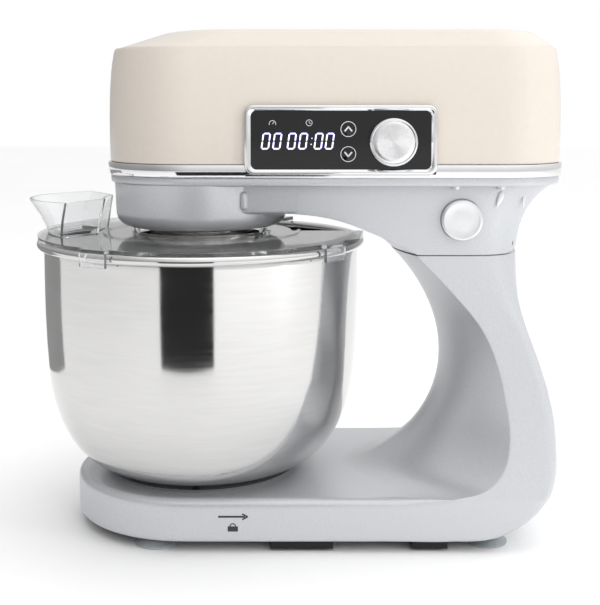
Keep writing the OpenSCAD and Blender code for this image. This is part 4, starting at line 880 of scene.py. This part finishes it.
# ---- stage, light and camera ----------------------------------------------------------------
FLOOR_Z, FLOOR_HALF = -0.0003, 6
floor_mesh = bpy.data.meshes.new("floor")
floor_mesh.from_pydata([(sx * FLOOR_HALF, sy * FLOOR_HALF, FLOOR_Z)
                        for sx, sy in ((-1, -1), (1, -1), (1, 1), (-1, 1))], [], [(0, 1, 2, 3)])
floor_mesh.materials.append(grained("floor", (0.985, 0.985, 0.985), 0.0, (0.5, 0.6), 3, 0.004, 0.0))
linked("floor", floor_mesh)

world = bpy.data.worlds.new("studio")
world.use_nodes = True
bpy.context.scene.world = world
tree = world.node_tree


def math_node(kind, a, b):
    """A maths node of two sockets or numbers."""
    node = tree.nodes.new("ShaderNodeMath")
    node.operation = kind
    for k, value in enumerate((a, b)):
        if isinstance(value, (int, float)):
            node.inputs[k].default_value = value
        else:
            tree.links.new(value, node.inputs[k])
    return node.outputs[0]


def soft_step(value, start, end):
    """A smooth step from 0 to 1 between two values."""
    node = tree.nodes.new("ShaderNodeMapRange")
    node.interpolation_type = "SMOOTHSTEP"
    node.inputs["From Min"].default_value = start
    node.inputs["From Max"].default_value = end
    tree.links.new(value, node.inputs["Value"])
    return node.outputs["Result"]


def light_world():
    """Soft studio light, brighter above and to the right, behind a white background."""
    coord = tree.nodes.new("ShaderNodeTexCoord")
    split = tree.nodes.new("ShaderNodeSeparateXYZ")
    tree.links.new(coord.outputs["Generated"], split.inputs["Vector"])
    above = math_node("ADD", math_node("MULTIPLY", soft_step(split.outputs["Z"], -0.05, 0.9), 0.50), 0.72)
    right = math_node("ADD", math_node("MULTIPLY", soft_step(split.outputs["X"], -0.9, 0.3), 0.68), 0.44)
    seen = tree.nodes.new("ShaderNodeLightPath").outputs["Is Camera Ray"]
    unseen = math_node("SUBTRACT", 1.0, seen)
    light = math_node("MULTIPLY", unseen, math_node("MULTIPLY", above, right))
    back = tree.nodes["Background"]
    tree.links.new(math_node("ADD", seen, light), back.inputs["Strength"])
    back.inputs["Color"].default_value = (1, 1, 1, 1)


def area(name, place, target, size, power):
    """A soft light that is not mirrored in the object, for the cards shape its reflections."""
    data = bpy.data.lights.new(name, "AREA")
    data.shape = "RECTANGLE"
    data.size, data.size_y = size
    data.energy = power
    obj = linked(name, data)
    obj.location = place
    obj.rotation_euler = (Vector(target) - Vector(place)).to_track_quat("-Z", "Y").to_euler()
    obj.visible_camera = obj.visible_glossy = False


def card(name, x, y, width, height, tone):
    """A studio card that stands round the bowl and faces it, seen only in reflections."""
    a = math.atan2(y, x)
    verts = []
    for side, z in ((-1, 0), (1, 0), (1, height), (-1, height)):
        across = side * width / 2
        verts.append((x - across * math.sin(a), y + across * math.cos(a), z))
    mesh = bpy.data.meshes.new(name)
    mesh.from_pydata(verts, [], [(0, 1, 2, 3)])
    mesh.materials.append(grained(name, (tone, tone, tone), 0.0, (0.8, 0.9), 5, 0.1, 0.0))
    obj = linked(name, mesh)
    obj.visible_camera = obj.visible_diffuse = obj.visible_shadow = obj.visible_transmission = False


light_world()
card("dark_card", -0.038, -0.455, 0.27, 0.2, 0.01)
card("grey_card", -0.36, 0.23, 0.30, 0.2, 0.3)
area("key", (0.55, -1.3, 0.7), (0.1, 0, 0.15), (0.9, 0.9), 3.2)
area("top", (0.1, -0.1, 1.5), (0.05, 0, 0.1), (1.4, 0.9), 4)
area("side", (1.3, -0.7, 0.5), (0.1, 0, 0.15), (0.25, 1.1), 4.5)

FOCAL = 1110 / 605          # focal length over the picture's width, found from the photograph
FULL_SHIFT = 0.3367         # how far the photograph's horizon lies above its middle
SHIFT = 0.17                # the part of it made by shift; the rest is made by a downward tilt
cam_data = bpy.data.cameras.new("camera")
cam_data.sensor_width = 36
cam_data.lens = cam_data.sensor_width * FOCAL
cam_data.shift_y = -SHIFT
camera = linked("camera", cam_data)
camera.location = (0.0678, -0.765, 0.289)
camera.rotation_euler = (math.pi / 2 - math.atan((FULL_SHIFT - SHIFT) / FOCAL), 0, 0)
bpy.context.scene.camera = camera
bpy.context.scene.view_settings.view_transform = "Standard"
